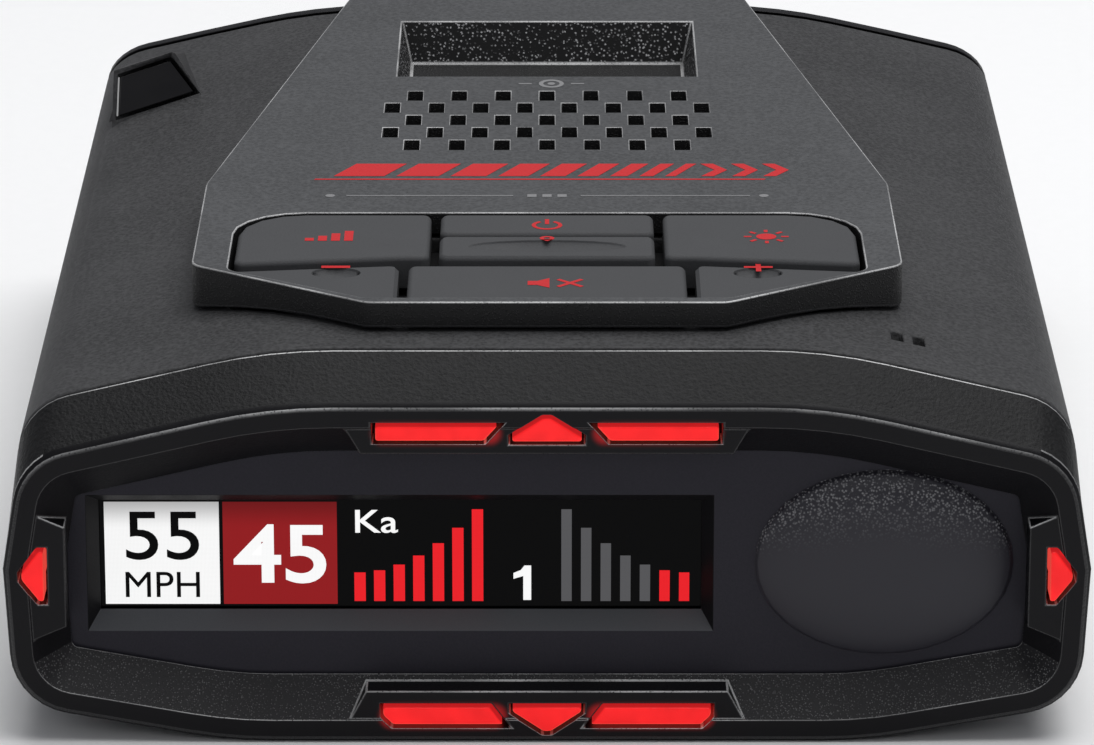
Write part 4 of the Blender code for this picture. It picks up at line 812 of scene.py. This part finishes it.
class Builder(Graph):
    """Geometry tree with named inputs, made once."""

    def __init__(self, name, **inputs):
        tree = bpy.data.node_groups.new(name, "GeometryNodeTree")
        super().__init__(tree)
        kinds = {float: "NodeSocketFloat", int: "NodeSocketInt", tuple: "NodeSocketVector"}
        for key, value in inputs.items():
            socket = tree.interface.new_socket(
                key.replace("_", " "), in_out="INPUT", socket_type=kinds[type(value)]
            )
            socket.default_value = value
        tree.interface.new_socket("Material", in_out="INPUT", socket_type="NodeSocketMaterial")
        tree.interface.new_socket("Geometry", in_out="OUTPUT", socket_type="NodeSocketGeometry")
        self.source = tree.nodes.new("NodeGroupInput")

    def read(self, name):
        """Wire from one of the tree's inputs."""
        return Wire(self, self.source.outputs[name.replace("_", " ")])

    def vector(self, x, y, z):
        """Wire of three values."""
        return self.node("ShaderNodeCombineXYZ", None, {0: x, 1: y, 2: z})

    def moved(self, geometry, place):
        """Geometry shifted to a place."""
        inputs = {"Geometry": geometry, "Translation": place}
        return self.node("GeometryNodeTransform", None, inputs)

    def cut(self, body, tools, operation="DIFFERENCE"):
        """Boolean of a body with tools."""
        item = self.tree.nodes.new("GeometryNodeMeshBoolean")
        item.operation = operation
        item.solver = "EXACT"
        if operation == "DIFFERENCE":
            self.tree.links.new(body.socket, item.inputs["Mesh 1"])
        else:
            tools = [body, *tools]
        for tool in tools:
            self.tree.links.new(tool.socket, item.inputs["Mesh 2"])
        return Wire(self, item.outputs[0])

    def close(self, geometry):
        """Realize the result, give it its material and send it out."""
        real = self.node("GeometryNodeRealizeInstances", None, {0: geometry})
        inputs = {"Geometry": real, "Material": self.read("Material")}
        final = self.node("GeometryNodeSetMaterial", None, inputs)
        self.tree.nodes.new("NodeGroupOutput")
        self.tree.links.new(final.socket, self.tree.nodes["Group Output"].inputs[0])
        return self.tree


def grow(tree, material, **values):
    """Plain mesh of a tree's result for these input values."""
    carrier = bpy.data.objects.new("carrier", bpy.data.meshes.new("carrier"))
    bpy.context.scene.collection.objects.link(carrier)
    modifier = carrier.modifiers.new("Build", "NODES")
    modifier.node_group = tree
    wanted = {key.replace("_", " "): value for key, value in values.items()}
    wanted["Material"] = material
    for socket in tree.interface.items_tree:
        if socket.in_out == "INPUT" and socket.name in wanted:
            modifier[socket.identifier] = wanted[socket.name]
    graph = bpy.context.evaluated_depsgraph_get()
    mesh = bpy.data.meshes.new_from_object(carrier.evaluated_get(graph))
    bpy.data.objects.remove(carrier)
    return mesh


def bar_row_tree():
    """Row of bars that grow by a power law, for the display's signal meter."""
    tree = Builder(
        "Signal bars", Place=(0.0, 0.0, 0.0), Count=7, First=0, Pitch=0.0016, Width=0.00095,
        Shortest=0.0025, Tallest=0.008, Last=6, Power=1.9, Thickness=0.00002,
    )
    step = tree.node("GeometryNodeInputIndex")
    index = step + tree.read("First")
    share = (index / tree.read("Last")) ** tree.read("Power")
    height = tree.read("Shortest") + (tree.read("Tallest") - tree.read("Shortest")) * share
    line = tree.node("GeometryNodeMeshLine", None, {
        "Count": tree.read("Count"), "Offset": tree.vector(tree.read("Pitch"), 0.0, 0.0),
    })
    size = tree.vector(tree.read("Width"), tree.read("Thickness"), 1.0)
    block = tree.node("GeometryNodeMeshCube", None, {"Size": size})
    standing = tree.moved(block, (0.0, 0.0, 0.5))
    row = tree.node("GeometryNodeInstanceOnPoints", None, {
        "Points": line, "Instance": standing, "Scale": tree.vector(1.0, 1.0, height),
    })
    return tree.close(tree.moved(row, tree.read("Place")))


def screw_tree():
    """Pan-head screw, head down, with a cross recess and a rolled thread."""
    tree = Builder(
        "Case screw", Place=(0.0, 0.0, 0.0), Head_Radius=0.0022, Head_Height=0.0011,
        Shank_Radius=0.001, Length=0.0098, Recess_Width=0.0006, Recess_Span=0.0024,
        Recess_Depth=0.0007, Threads=14, Thread_Depth=0.00015,
    )
    head_height = tree.read("Head_Height")
    head = tree.node("GeometryNodeMeshCylinder", None, {
        "Vertices": 40, "Radius": tree.read("Head_Radius"), "Depth": head_height,
    })
    head = tree.moved(head, tree.vector(0.0, 0.0, head_height * 0.5))
    shank_length = tree.read("Length") - head_height
    shank = tree.node("GeometryNodeMeshCylinder", None, {
        "Vertices": 20, "Radius": tree.read("Shank_Radius") - tree.read("Thread_Depth"),
        "Depth": shank_length + 0.0002,
    })
    shank = tree.moved(shank, tree.vector(0.0, 0.0, head_height + shank_length * 0.5 - 0.0001))
    pitch = shank_length / (tree.read("Threads") + 1.0)
    turns = tree.node("GeometryNodeMeshLine", None, {
        "Count": tree.read("Threads"), "Offset": tree.vector(0.0, 0.0, pitch),
    })
    ridge = tree.node("GeometryNodeMeshCone", None, {
        "Vertices": 20, "Radius Top": tree.read("Shank_Radius") - tree.read("Thread_Depth") * 1.5,
        "Radius Bottom": tree.read("Shank_Radius"), "Depth": pitch * 0.6,
    })
    thread = tree.node("GeometryNodeInstanceOnPoints", None, {"Points": turns, "Instance": ridge})
    thread = tree.node("GeometryNodeRealizeInstances", None, {0: thread})
    thread = tree.moved(thread, tree.vector(0.0, 0.0, head_height + pitch * 0.9))
    span = tree.read("Recess_Span")
    width = tree.read("Recess_Width")
    deep = tree.read("Recess_Depth") * 2.0
    slots = [
        tree.node("GeometryNodeMeshCube", None, {"Size": tree.vector(span, width, deep)}),
        tree.node("GeometryNodeMeshCube", None, {"Size": tree.vector(width, span, deep)}),
    ]
    body = tree.cut(head, [shank, thread], "UNION")
    body = tree.cut(body, slots)
    return tree.close(tree.moved(body, tree.read("Place")))


def block_row_tree():
    """Row of equal blocks, for contacts and woven wires."""
    tree = Builder(
        "Block row", Place=(0.0, 0.0, 0.0), Step=(0.001, 0.0, 0.0), Size=(0.001, 0.001, 0.001),
        Count=6,
    )
    line = tree.node("GeometryNodeMeshLine", None, {
        "Count": tree.read("Count"), "Offset": tree.read("Step"),
    })
    block = tree.node("GeometryNodeMeshCube", None, {"Size": tree.read("Size")})
    row = tree.node("GeometryNodeInstanceOnPoints", None, {"Points": line, "Instance": block})
    return tree.close(tree.moved(row, tree.read("Place")))


# ---- pieces ------------------------------------------------------------------------------

class DETECTOR_OT_case(bpy.types.Operator):
    """Round the two case halves' edges and give them their soft grain"""

    bl_idname = "detector.case"
    bl_label = "Case halves"

    def execute(self, context):
        edge = sizes().case_edge
        low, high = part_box("rear_laser_window")

        def weight(middle):
            on_rim = low.x - MM < middle.x < high.x + MM and low.y - MM < middle.y < high.y
            return 0.0 if on_rim and middle.z > low.z - MM else 1.0

        dressed("top_case", edge, weight)
        dressed("bottom_case", edge)
        return {"FINISHED"}


class DETECTOR_OT_bezel(bpy.types.Operator):
    """Round the bezel's edges, give its brow, rim and funnel their grains and paint highlights on its edges and
    lower funnel
    """

    bl_idname = "detector.bezel"
    bl_label = "Front bezel"

    def execute(self, context):
        c = colours()
        grain = sizes().brow_grain
        brow = moulded("brow_grain", c.brow, 0.5, grain * 1.5, 0.9, 0.5, 0.15)
        # the up-facing lower funnel is painted lighter, with painted sparkle, as if lit from above
        funnel = sparkling("funnel_grain", tuple(ch * 1.3 for ch in c.bezel), 0.14, 0.20 * MM)
        shade = moulded("funnel_shade", c.bezel, 0.55, grain, 0.3, 0.2, 0.08)
        # painted highlight on the bezel's rounded edges
        edges = glint("bezel_edges", c.bezel)
        low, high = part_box("front_bezel")
        centre = (low + high) / 2

        def bands(face):
            middle = face.calc_center_median() * MM
            outwards = (middle - centre) * face.normal
            if face.normal.y > -0.9 and depth_of(middle) > 0.3:
                if outwards.x + outwards.z > 0:
                    return 1
                if face.normal.y < -0.2:
                    return 2 if face.normal.z > 0.2 else 3
            return 0

        def weight(middle):
            return 0.45 if 0.1 < depth_of(middle) < 3.2 else 1.0

        dressed(
            "front_bezel", sizes().bezel_edge, weight, bands, (brow, funnel, shade, edges), trim=4
        )
        return {"FINISHED"}


class DETECTOR_OT_fascia(bpy.types.Operator):
    """Finish the panel around the display and the dome over the rear antenna"""

    bl_idname = "detector.fascia"
    bl_label = "Fascia and dome"

    def painted_dome_highlight(self, base):
        """Dome's grain with a painted highlight: its grain is painted pale where it turns up to the light."""
        finish = Finish("dome_grain", Specular_IOR_Level=0.35)
        _, _, upward = finish.facing()
        lit_crown = upward.ramp(0.02, 0.35)
        cells = finish.cells(0.24 * MM)
        fine = finish.noise(0.2 * MM, 3.0, 0.7)
        speck = (cells + fine * 0.8).ramp(0.5, 0.95, 1.0, 0.0) * lit_crown
        finish.set(
            # painted highlight: pale specks on the up-facing crown
            Base_Color=finish.blend(speck, base, (0.22, 0.22, 0.23)),
            Roughness=lit_crown.ramp(0.0, 1.0, 0.52, 0.36),
            Normal=finish.relief(speck, 0.6, 0.08 * MM),
        )
        return finish.material

    def flare_painted_light(self):
        """Flared edge of the display opening with painted light and shade: a pale sill where it faces up and
        dark sides.
        """
        finish = Finish("display_flare", Specular_IOR_Level=0.12)
        _, _, upward = finish.facing()
        fine = finish.noise(0.12 * MM, 3.0)
        sill = upward.ramp(0.2, 0.5)
        pale = finish.shades(fine, (0.078, 0.081, 0.088), 0.88, 1.12)
        finish.set(
            # painted light and shade: pale where the flare faces up, near black elsewhere
            Base_Color=finish.blend(sill, (0.006, 0.006, 0.007), pale),
            Roughness=fine.ramp(0.2, 0.8, 0.45, 0.6),
            Normal=finish.relief(fine, 0.2, 0.04 * MM),
        )
        return finish.material

    def execute(self, context):
        c = colours()
        flat = moulded("fascia_satin", c.fascia, 0.5, 0.12 * MM, 0.2, 0.12, 0.12)
        dome = self.painted_dome_highlight(c.fascia)
        flare = self.flare_painted_light()
        front = FRONT + 3.3 * MM

        def bands(face):
            middle = face.calc_center_median() * MM
            if middle.y < front - 0.02 * MM:
                return 2
            if face.normal.y < -0.3 and middle.y > front + 0.1 * MM:
                return 3
            return 1

        dressed("fascia_panel", sizes().small_edge, None, bands, (flat, dome, flare), sharp=20.0,
                flat=[((0, -1, 0), -front, 1.15)])
        return {"FINISHED"}


class DETECTOR_OT_lights(bpy.types.Operator):
    """Round the eight light pipes and light them"""

    bl_idname = "detector.lights"
    bl_label = "Alert lights"

    def execute(self, context):
        for node in LIGHTS:
            dressed(node, sizes().light_edge, steps=4)
        return {"FINISHED"}


class DETECTOR_OT_screen(bpy.types.Operator):
    """Finish the display window and draw its speed, band and signal readings"""

    bl_idname = "detector.screen"
    bl_label = "Display"

    def execute(self, context):
        c = colours()
        dressed("display_window", sizes().small_edge)
        self.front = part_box("display_window")[0].y
        white = screen("screen_white", (0.90, 0.90, 0.90), top=0.42)
        lettering = screen("screen_letters", (0.92, 0.92, 0.92), 1.0)
        black = gloss("screen_black", (0.002, 0.002, 0.0022), 0.3, 0.05)
        red = screen("screen_red", c.screen_red)
        dark_red = screen("screen_dark_red", c.screen_dark_red, top=0.5)
        grey = screen("screen_grey", c.screen_grey)
        self.field("speed_limit_field", (-36.25, -26.85), (10.15, 19.05), white)
        self.field("speed_field", (-26.55, -17.2), (10.15, 19.05), dark_red)
        self.text("speed_limit_digits", "55", (-34.5, -28.5), (14.0, 18.2), black, 0.004)
        self.text("speed_unit", "MPH", (-34.6, -28.5), (10.75, 12.95), black, 0.0)
        self.text("speed_digits", "45", (-25.7, -18.1), (11.95, 17.1), lettering, 0.016)
        self.text("band_letters", "Ka", (-15.7, -12.2), (16.35, 18.35), lettering, 0.008)
        one = [
            (-1.95, 10.5), (-1.3, 10.5), (-1.3, 13.5), (-1.85, 13.5), (-2.15, 13.1), (-2.75, 12.85),
            (-2.75, 12.35), (-1.95, 12.6),
        ]
        self.outlines("alert_count", [one], 0.045, lettering)
        tree = bar_row_tree()
        rise = dict(Pitch=1.61 * MM, Width=0.93 * MM)
        fall = dict(Pitch=-1.61 * MM, Width=0.85 * MM)
        self.bars("signal_bars_ahead", tree, red, -15.35, Count=7, First=0, **rise)
        self.bars("signal_bars_behind", tree, red, 11.26, Count=2, First=0, **fall)
        self.bars("signal_bars_unlit", tree, grey, 11.26 - 2 * 1.61, Count=5, First=2, **fall)
        return {"FINISHED"}

    def finish(self, name, mesh, material):
        """Add a flat display element."""
        return put(name, mesh, [material], HOUSING, "display_glass")

    def field(self, name, x_span, z_span, material):
        """Coloured block behind the digits."""
        self.outlines(name, [bar(*x_span, *z_span)], 0.02, material)

    def outlines(self, name, shapes, thickness, material):
        """Flat shapes standing on the window, as (x, z) in millimetres."""
        def point(x, z, out):
            return (x * MM, self.front - out * MM, z * MM)

        self.finish(name, solid_from(shapes, point, thickness), material)

    def text(self, name, words, x_span, z_span, material, weight):
        """Characters stretched to fit a box."""
        curve = bpy.data.curves.new(name, "FONT")
        curve.body = words
        curve.offset = weight
        curve.extrude = 0.05
        curve.resolution_u = 6
        carrier = bpy.data.objects.new(name, curve)
        bpy.context.scene.collection.objects.link(carrier)
        graph = bpy.context.evaluated_depsgraph_get()
        mesh = bpy.data.meshes.new_from_object(carrier.evaluated_get(graph))
        bpy.data.objects.remove(carrier)
        low = [min(vertex.co[axis] for vertex in mesh.vertices) for axis in (0, 1)]
        high = [max(vertex.co[axis] for vertex in mesh.vertices) for axis in (0, 1)]
        for vertex in mesh.vertices:
            across = (vertex.co.x - low[0]) / (high[0] - low[0])
            upward = (vertex.co.y - low[1]) / (high[1] - low[1])
            out = 0.045 if vertex.co.z > 0 else 0.025
            vertex.co = (
                (x_span[0] + (x_span[1] - x_span[0]) * across) * MM,
                self.front - out * MM,
                (z_span[0] + (z_span[1] - z_span[0]) * upward) * MM,
            )
        work = bmesh.new()
        work.from_mesh(mesh)
        bmesh.ops.remove_doubles(work, verts=work.verts, dist=0.0005 * MM)
        bmesh.ops.recalc_face_normals(work, faces=work.faces)
        work.to_mesh(mesh)
        work.free()
        self.finish(name, mesh, material)

    def bars(self, name, tree, material, x, **values):
        """Group of signal bars."""
        place = (x * MM, self.front - 0.02 * MM, 10.4 * MM)
        self.finish(name, grow(tree, material, Place=place, **values), material)


class DETECTOR_OT_panel(bpy.types.Operator):
    """Round the control panel's rim, key well, grille and mount recess, and paint shade on its lower faces and
    highlights on its edges and recess walls
    """

    bl_idname = "detector.panel"
    bl_label = "Control panel"

    def execute(self, context):
        low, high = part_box("control_panel")
        # painted sparkle highlights on the mount recess's walls
        recess = sparkling("recess_grain", (0.012, 0.012, 0.0125), 0.62, 0.34 * MM)
        # painted shade: a near-black copy of the panel, with faint painted sparkle, for its walls and the
        # recess floor
        wall = sparkling("panel_wall", (0.009, 0.009, 0.0095), 0.03, 0.2 * MM)
        # painted highlight on the panel's rounded edges
        edges = glint("panel_edges", (0.045, 0.045, 0.047), 1.0)
        grille = range(52, 74)

        def weight(middle):
            return 0.3 if int(depth_of(middle)) in grille and abs(mm(middle.x)) < 17 else 1.0

        # below the top, the recess walls get painted sparkle and every other face painted shade
        def bands(face):
            middle = face.calc_center_median() * MM
            if middle.z > high.z - 0.05 * MM:
                return 0
            in_recess = abs(mm(middle.x)) < 14 and 77.4 < depth_of(middle) < 97.2
            return 1 if in_recess and face.normal.z < 0.9 else 2

        dressed(
            "control_panel", sizes().panel_edge, weight, bands, (recess, wall, edges),
            flat=[((0, 0, 1), PANEL_TOP, 1.15)], trim=3,
        )
        return {"FINISHED"}


class DETECTOR_OT_printing(bpy.types.Operator):
    """Print the stripes, rules and locator mark on the control panel"""

    bl_idname = "detector.printing"
    bl_label = "Panel printing"

    def execute(self, context):
        c = colours()
        red = ink("ink_red", c.print_red)
        grey = ink("ink_grey", c.print_grey)
        stripes = []
        x = -18.6
        for width in (4.4, 3.7, 3.1, 2.6, 2.2, 1.8, 1.5, 1.2, 0.9):
            stripes.append(bar(x, x + width, 45.2, 49.0, 1.9))
            x += width + 1.05
        for step in range(3):
            start = x + 1.2 + step * 2.7
            stripes.append(bar(start, start + 1.1, 45.2, 47.1, 1.2))
            stripes.append([(start + 1.2, 47.1), (start + 2.3, 47.1), (start + 1.1, 49.0), (start, 49.0)])
        stripes.append(bar(-20.3, 18.9, 44.1, 44.4, 0.15))
        printed("stripes_print", stripes, PANEL_TOP, red, HOUSING, "panel_plastic")
        rules = [bar(-17.3, -2.9, 39.2, 39.42), bar(2.9, 17.5, 39.2, 39.42)]
        rules += [disc(side * 18.7, 39.3, 0.42) for side in (-1, 1)]
        for step in (-1, 0, 1):
            rules.append(bar(step * 1.3 - 0.4, step * 1.3 + 0.4, 38.9, 39.7))
        printed("rules_print", rules, PANEL_TOP, grey, HOUSING, "panel_plastic")
        mark = arc_band(0.4, 75.0, 0.75, 1.15, squash=1.2) + [disc(0.4, 75.0, 0.35, squash=1.2)]
        mark += [bar(-2.6, -1.4, 74.85, 75.15), bar(2.2, 3.4, 74.85, 75.15)]
        printed("locator_print", mark, PANEL_TOP, grey, HOUSING, "panel_plastic")
        return {"FINISHED"}


class DETECTOR_OT_keys(bpy.types.Operator):
    """Round the seven keys and print their symbols"""

    bl_idname = "detector.keys"
    bl_label = "Keys"

    def symbols(self):
        """Outlines of each key's symbol around its own centre, and where that stands."""
        sound = [(-1.6, -0.55), (-0.8, -0.55), (0.2, -1.3), (0.2, 1.3), (-0.8, 0.55), (-1.6, 0.55)]
        quarter = [(0.28, 0.0), (1.13, 0.85), (0.85, 1.13)]
        cross = []
        plus = []
        for step in range(4):
            turn = math.pi * step / 2
            along, over = round(math.cos(turn)), round(math.sin(turn))
            cross += [(a * along - b * over + 1.9, a * over + b * along) for a, b in quarter]
            arm = [(1.2, -0.22), (1.2, 0.22), (0.22, 0.22)]
            plus += [(a * along - b * over, a * over + b * along) for a, b in arm]
        rays = []
        for step in range(8):
            turn = math.pi * step / 4
            along = Vector((math.cos(turn), math.sin(turn)))
            side = Vector((-along.y, along.x)) * 0.16
            ends = [along * 1.25, along * 1.9]
            corners = [ends[0] - side, ends[1] - side, ends[1] + side, ends[0] + side]
            rays.append([tuple(corner) for corner in corners])
        power = arc_band(0, 0, 0.95, 1.3, 120, 420) + [bar(-0.18, 0.18, 0.3, 1.7)]
        pin = arc_band(0, 0.1, 0.28, 0.62, squash=0.9) + [[(-0.5, -0.25), (0, -0.75), (0.5, -0.25)]]
        return {
            "key_mute": ([sound, cross], (0.0, 15.9)),
            "key_brightness": ([disc(0, 0, 0.85)] + rays, (18.5, 27.3)),
            "key_sensitivity": (
                [bar(x, x + 0.75, -1.2, top) for x, top in ((-1.9, -0.4), (-0.8, 0.2), (0.3, 0.9), (1.4, 1.6))],
                (-18.5, 27.3),
            ),
            "key_power": (power, (0.0, 30.6)),
            "key_mark": (pin, (0.0, 26.75)),
            "key_volume_down": ([bar(-1.2, 1.2, -0.3, 0.3)], (-17.6, 20.35)),
            "key_volume_up": (
                [plus], (17.6, 20.3),
            ),
        }

    def execute(self, context):
        red = ink("key_ink_red", colours().print_red)
        symbols = self.symbols()
        for node in KEYS:
            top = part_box(node)[1].z
            hollowed = [((0, 0, 1), top, 1.15)] if node == "key_mark" else ()
            dressed(node, sizes().key_edge, sharp=20.0, flat=hollowed)
            outlines, (x, depth) = symbols[node]
            placed = [[(a + x, b + depth) for a, b in outline] for outline in outlines]
            printed(node + "_symbol", placed, top, red, BODY_OF[node], "key_rubber")
        return {"FINISHED"}


class DETECTOR_OT_rear(bpy.types.Operator):
    """Finish the rear frame, the radome cover and both laser windows"""

    bl_idname = "detector.rear"
    bl_label = "Rear end and lasers"

    def execute(self, context):
        edge = sizes().case_edge
        for node in ("rear_frame", "radome_cover"):
            dressed(node, edge)
        for node in ("front_laser_window", "rear_laser_window"):
            dressed(node, sizes().small_edge)
        return {"FINISHED"}


class DETECTOR_OT_screws(bpy.types.Operator):
    """Make the four case screws"""

    bl_idname = "detector.screws"
    bl_label = "Case screws"

    def execute(self, context):
        tree = screw_tree()
        steel = finish_for("screw_steel")
        for node in sorted(name for name in NODES if name.startswith("case_screw")):
            low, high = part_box(node)
            place = ((low.x + high.x) / 2, (low.y + high.y) / 2, low.z)
            radius = (high.x - low.x) / 2
            mesh = grow(
                tree, steel, Place=place, Head_Radius=radius, Length=high.z - low.z,
            )
            mesh.shade_smooth()
            mesh.set_sharp_from_angle(angle=math.radians(30))
            item = put(node + "_finished", mesh, [steel], HOUSING, "screw_steel")
            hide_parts(node)
        return {"FINISHED"}


class DETECTOR_OT_grille_cloth(bpy.types.Operator):
    """Weave the dust mesh over the speaker"""

    bl_idname = "detector.grille_cloth"
    bl_label = "Speaker mesh"

    def execute(self, context):
        low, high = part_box("speaker_mesh")
        tree = block_row_tree()
        threads = finish_for("speaker_cloth")
        pitch = 0.62 * MM
        wire = 0.26 * MM
        size = high - low
        middle = (low + high) / 2
        layers = []
        for along, across, level in ((0, 1, 0.25), (1, 0, 0.75)):
            count = int((size[across] - wire) / pitch) + 1
            place = list(middle)
            place[across] -= pitch * (count - 1) / 2
            place[2] = low.z + size.z * level
            step = [0.0, 0.0, 0.0]
            step[across] = pitch
            block = [wire, wire, wire * 0.7]
            block[along] = size[along]
            layers.append(grow(
                tree, threads, Place=tuple(place), Step=tuple(step), Size=tuple(block), Count=count,
            ))
        work = bmesh.new()
        for layer in layers:
            work.from_mesh(layer)
        mesh = bpy.data.meshes.new("speaker_mesh_finished")
        work.to_mesh(mesh)
        work.free()
        item = put("speaker_mesh_finished", mesh, [threads], HOUSING, "speaker_cloth")
        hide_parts("speaker_mesh")
        return {"FINISHED"}


class DETECTOR_OT_sockets(bpy.types.Operator):
    """Finish the side sockets and add the power socket's contacts"""

    bl_idname = "detector.sockets"
    bl_label = "Sockets"

    def execute(self, context):
        for node in ("power_jack", "audio_jack", "usb_port"):
            dressed(node, sizes().small_edge)
        low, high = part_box("power_jack")
        middle = (low + high) / 2
        gold = metal("contact_gold", (0.80, 0.58, 0.26), 0.24)
        tree = block_row_tree()
        pitch = 1.02 * MM
        place = (low.x + 8.5 * MM, middle.y - 2.5 * pitch, middle.z - 3.2 * MM)
        mesh = grow(
            tree, gold, Place=place, Step=(0.0, pitch, 0.0),
            Size=(6.0 * MM, 0.4 * MM, 0.3 * MM), Count=6,
        )
        put("power_contacts", mesh, [gold], HOUSING, "tinned_steel")
        return {"FINISHED"}


class DETECTOR_OT_inner_parts(bpy.types.Operator):
    """Give every carried-over inner part its own finish"""

    bl_idname = "detector.inner_parts"
    bl_label = "Inner parts"

    def execute(self, context):
        replaced = {item["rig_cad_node"] for item in NODES.values() if item.hide_render}
        for node, item in NODES.items():
            if node in replaced:
                continue
            material = finish_for(SLOT_OF[node])
            item.data.materials.clear()
            item.data.materials.append(material)
        return {"FINISHED"}


class DETECTOR_OT_stage(bpy.types.Operator):
    """Lay the pale floor and set the studio lights and the camera"""

    bl_idname = "detector.stage"
    bl_label = "Stage"

    def lamp(self, name, place, target, size, energy, shade=(1.0, 1.0, 1.0)):
        """Soft area light aimed at a point."""
        data = bpy.data.lights.new(name, "AREA")
        data.shape = "RECTANGLE"
        data.size, data.size_y = size
        data.energy = energy
        data.color = shade
        item = bpy.data.objects.new(name, data)
        item.location = place
        item.rotation_euler = (Vector(target) - Vector(place)).to_track_quat("-Z", "Y").to_euler()
        bpy.context.scene.collection.objects.link(item)

    def execute(self, context):
        half = 4.0
        work = bmesh.new()
        bmesh.ops.create_grid(work, x_segments=8, y_segments=8, size=half)
        mesh = bpy.data.meshes.new("floor")
        work.to_mesh(mesh)
        work.free()
        finish = Finish("floor_paper", Specular_IOR_Level=0.2)
        fibre = finish.noise(1.5 * MM, 3.0)
        finish.set(
            Base_Color=finish.shades(fibre, colours().floor, 0.985, 1.01),
            Roughness=fibre.ramp(0.2, 0.8, 0.7, 0.85),
        )
        mesh.materials.append(finish.material)
        floor = bpy.data.objects.new("floor", mesh)
        floor.location.z = CAD_BOX[0].z - 0.05 * MM
        bpy.context.scene.collection.objects.link(floor)
        world = bpy.data.worlds.new("Studio")
        world.use_nodes = True
        background = world.node_tree.nodes["Background"]
        background.inputs["Color"].default_value = (0.92, 0.94, 1.0, 1.0)
        background.inputs["Strength"].default_value = 0.25
        context.scene.world = world
        self.lamp("top_softbox", (0.12, 0.06, 0.75), (0.0, 0.0, 0.0), (0.9, 0.6), 6.4)
        self.lamp("front_softbox", (0.0, -0.9, 0.55), (0.0, 0.0, 0.02), (0.8, 0.3), 0.6)
        context.scene.view_settings.view_transform = "Standard"
        self.camera(context)
        return {"FINISHED"}

    def camera(self, context):
        """Long lens looking down at the front."""
        data = bpy.data.cameras.new("Camera")
        data.sensor_width = 36.0
        data.lens = 200.0
        item = bpy.data.objects.new("Camera", data)
        item.location = (0.0, FRONT - 0.4629, CAD_BOX[0].z + 0.1859)
        item.rotation_euler = (math.radians(90.0 - 18.4), 0.0, 0.0)
        bpy.context.scene.collection.objects.link(item)
        context.scene.camera = item


STEPS = (
    DETECTOR_OT_stage,
    DETECTOR_OT_case,
    DETECTOR_OT_bezel,
    DETECTOR_OT_fascia,
    DETECTOR_OT_lights,
    DETECTOR_OT_screen,
    DETECTOR_OT_panel,
    DETECTOR_OT_printing,
    DETECTOR_OT_keys,
    DETECTOR_OT_rear,
    DETECTOR_OT_screws,
    DETECTOR_OT_grille_cloth,
    DETECTOR_OT_sockets,
    DETECTOR_OT_inner_parts,
)


class DETECTOR_PT_sidebar(bpy.types.Panel):
    """Sidebar list of the detector's pieces and settings"""

    bl_label = "Radar detector"
    bl_idname = "DETECTOR_PT_sidebar"
    bl_space_type = "VIEW_3D"
    bl_region_type = "UI"
    bl_category = "Detector"

    def draw(self, context):
        layout = self.layout
        for step in STEPS:
            layout.operator(step.bl_idname)
        for group in (context.scene.detector_sizes, context.scene.detector_colours):
            for name in group.bl_rna.properties.keys():
                if name not in ("rna_type", "name"):
                    layout.prop(group, name)


CLASSES = (DetectorSizes, DetectorColours, *STEPS, DETECTOR_PT_sidebar)


def register():
    """Register every class and attach the settings to the scene."""
    for item in CLASSES:
        bpy.utils.register_class(item)
    bpy.types.Scene.detector_sizes = bpy.props.PointerProperty(type=DetectorSizes)
    bpy.types.Scene.detector_colours = bpy.props.PointerProperty(type=DetectorColours)


def unregister():
    """Detach the settings and unregister every class."""
    del bpy.types.Scene.detector_colours
    del bpy.types.Scene.detector_sizes
    for item in reversed(CLASSES):
        bpy.utils.unregister_class(item)


def run(idname):
    """Call an operator by its name."""
    group, name = idname.split(".")
    getattr(getattr(bpy.ops, group), name)()


def main():
    register()
    for step in STEPS:
        run(step.bl_idname)


if __name__ == "__main__":
    main()
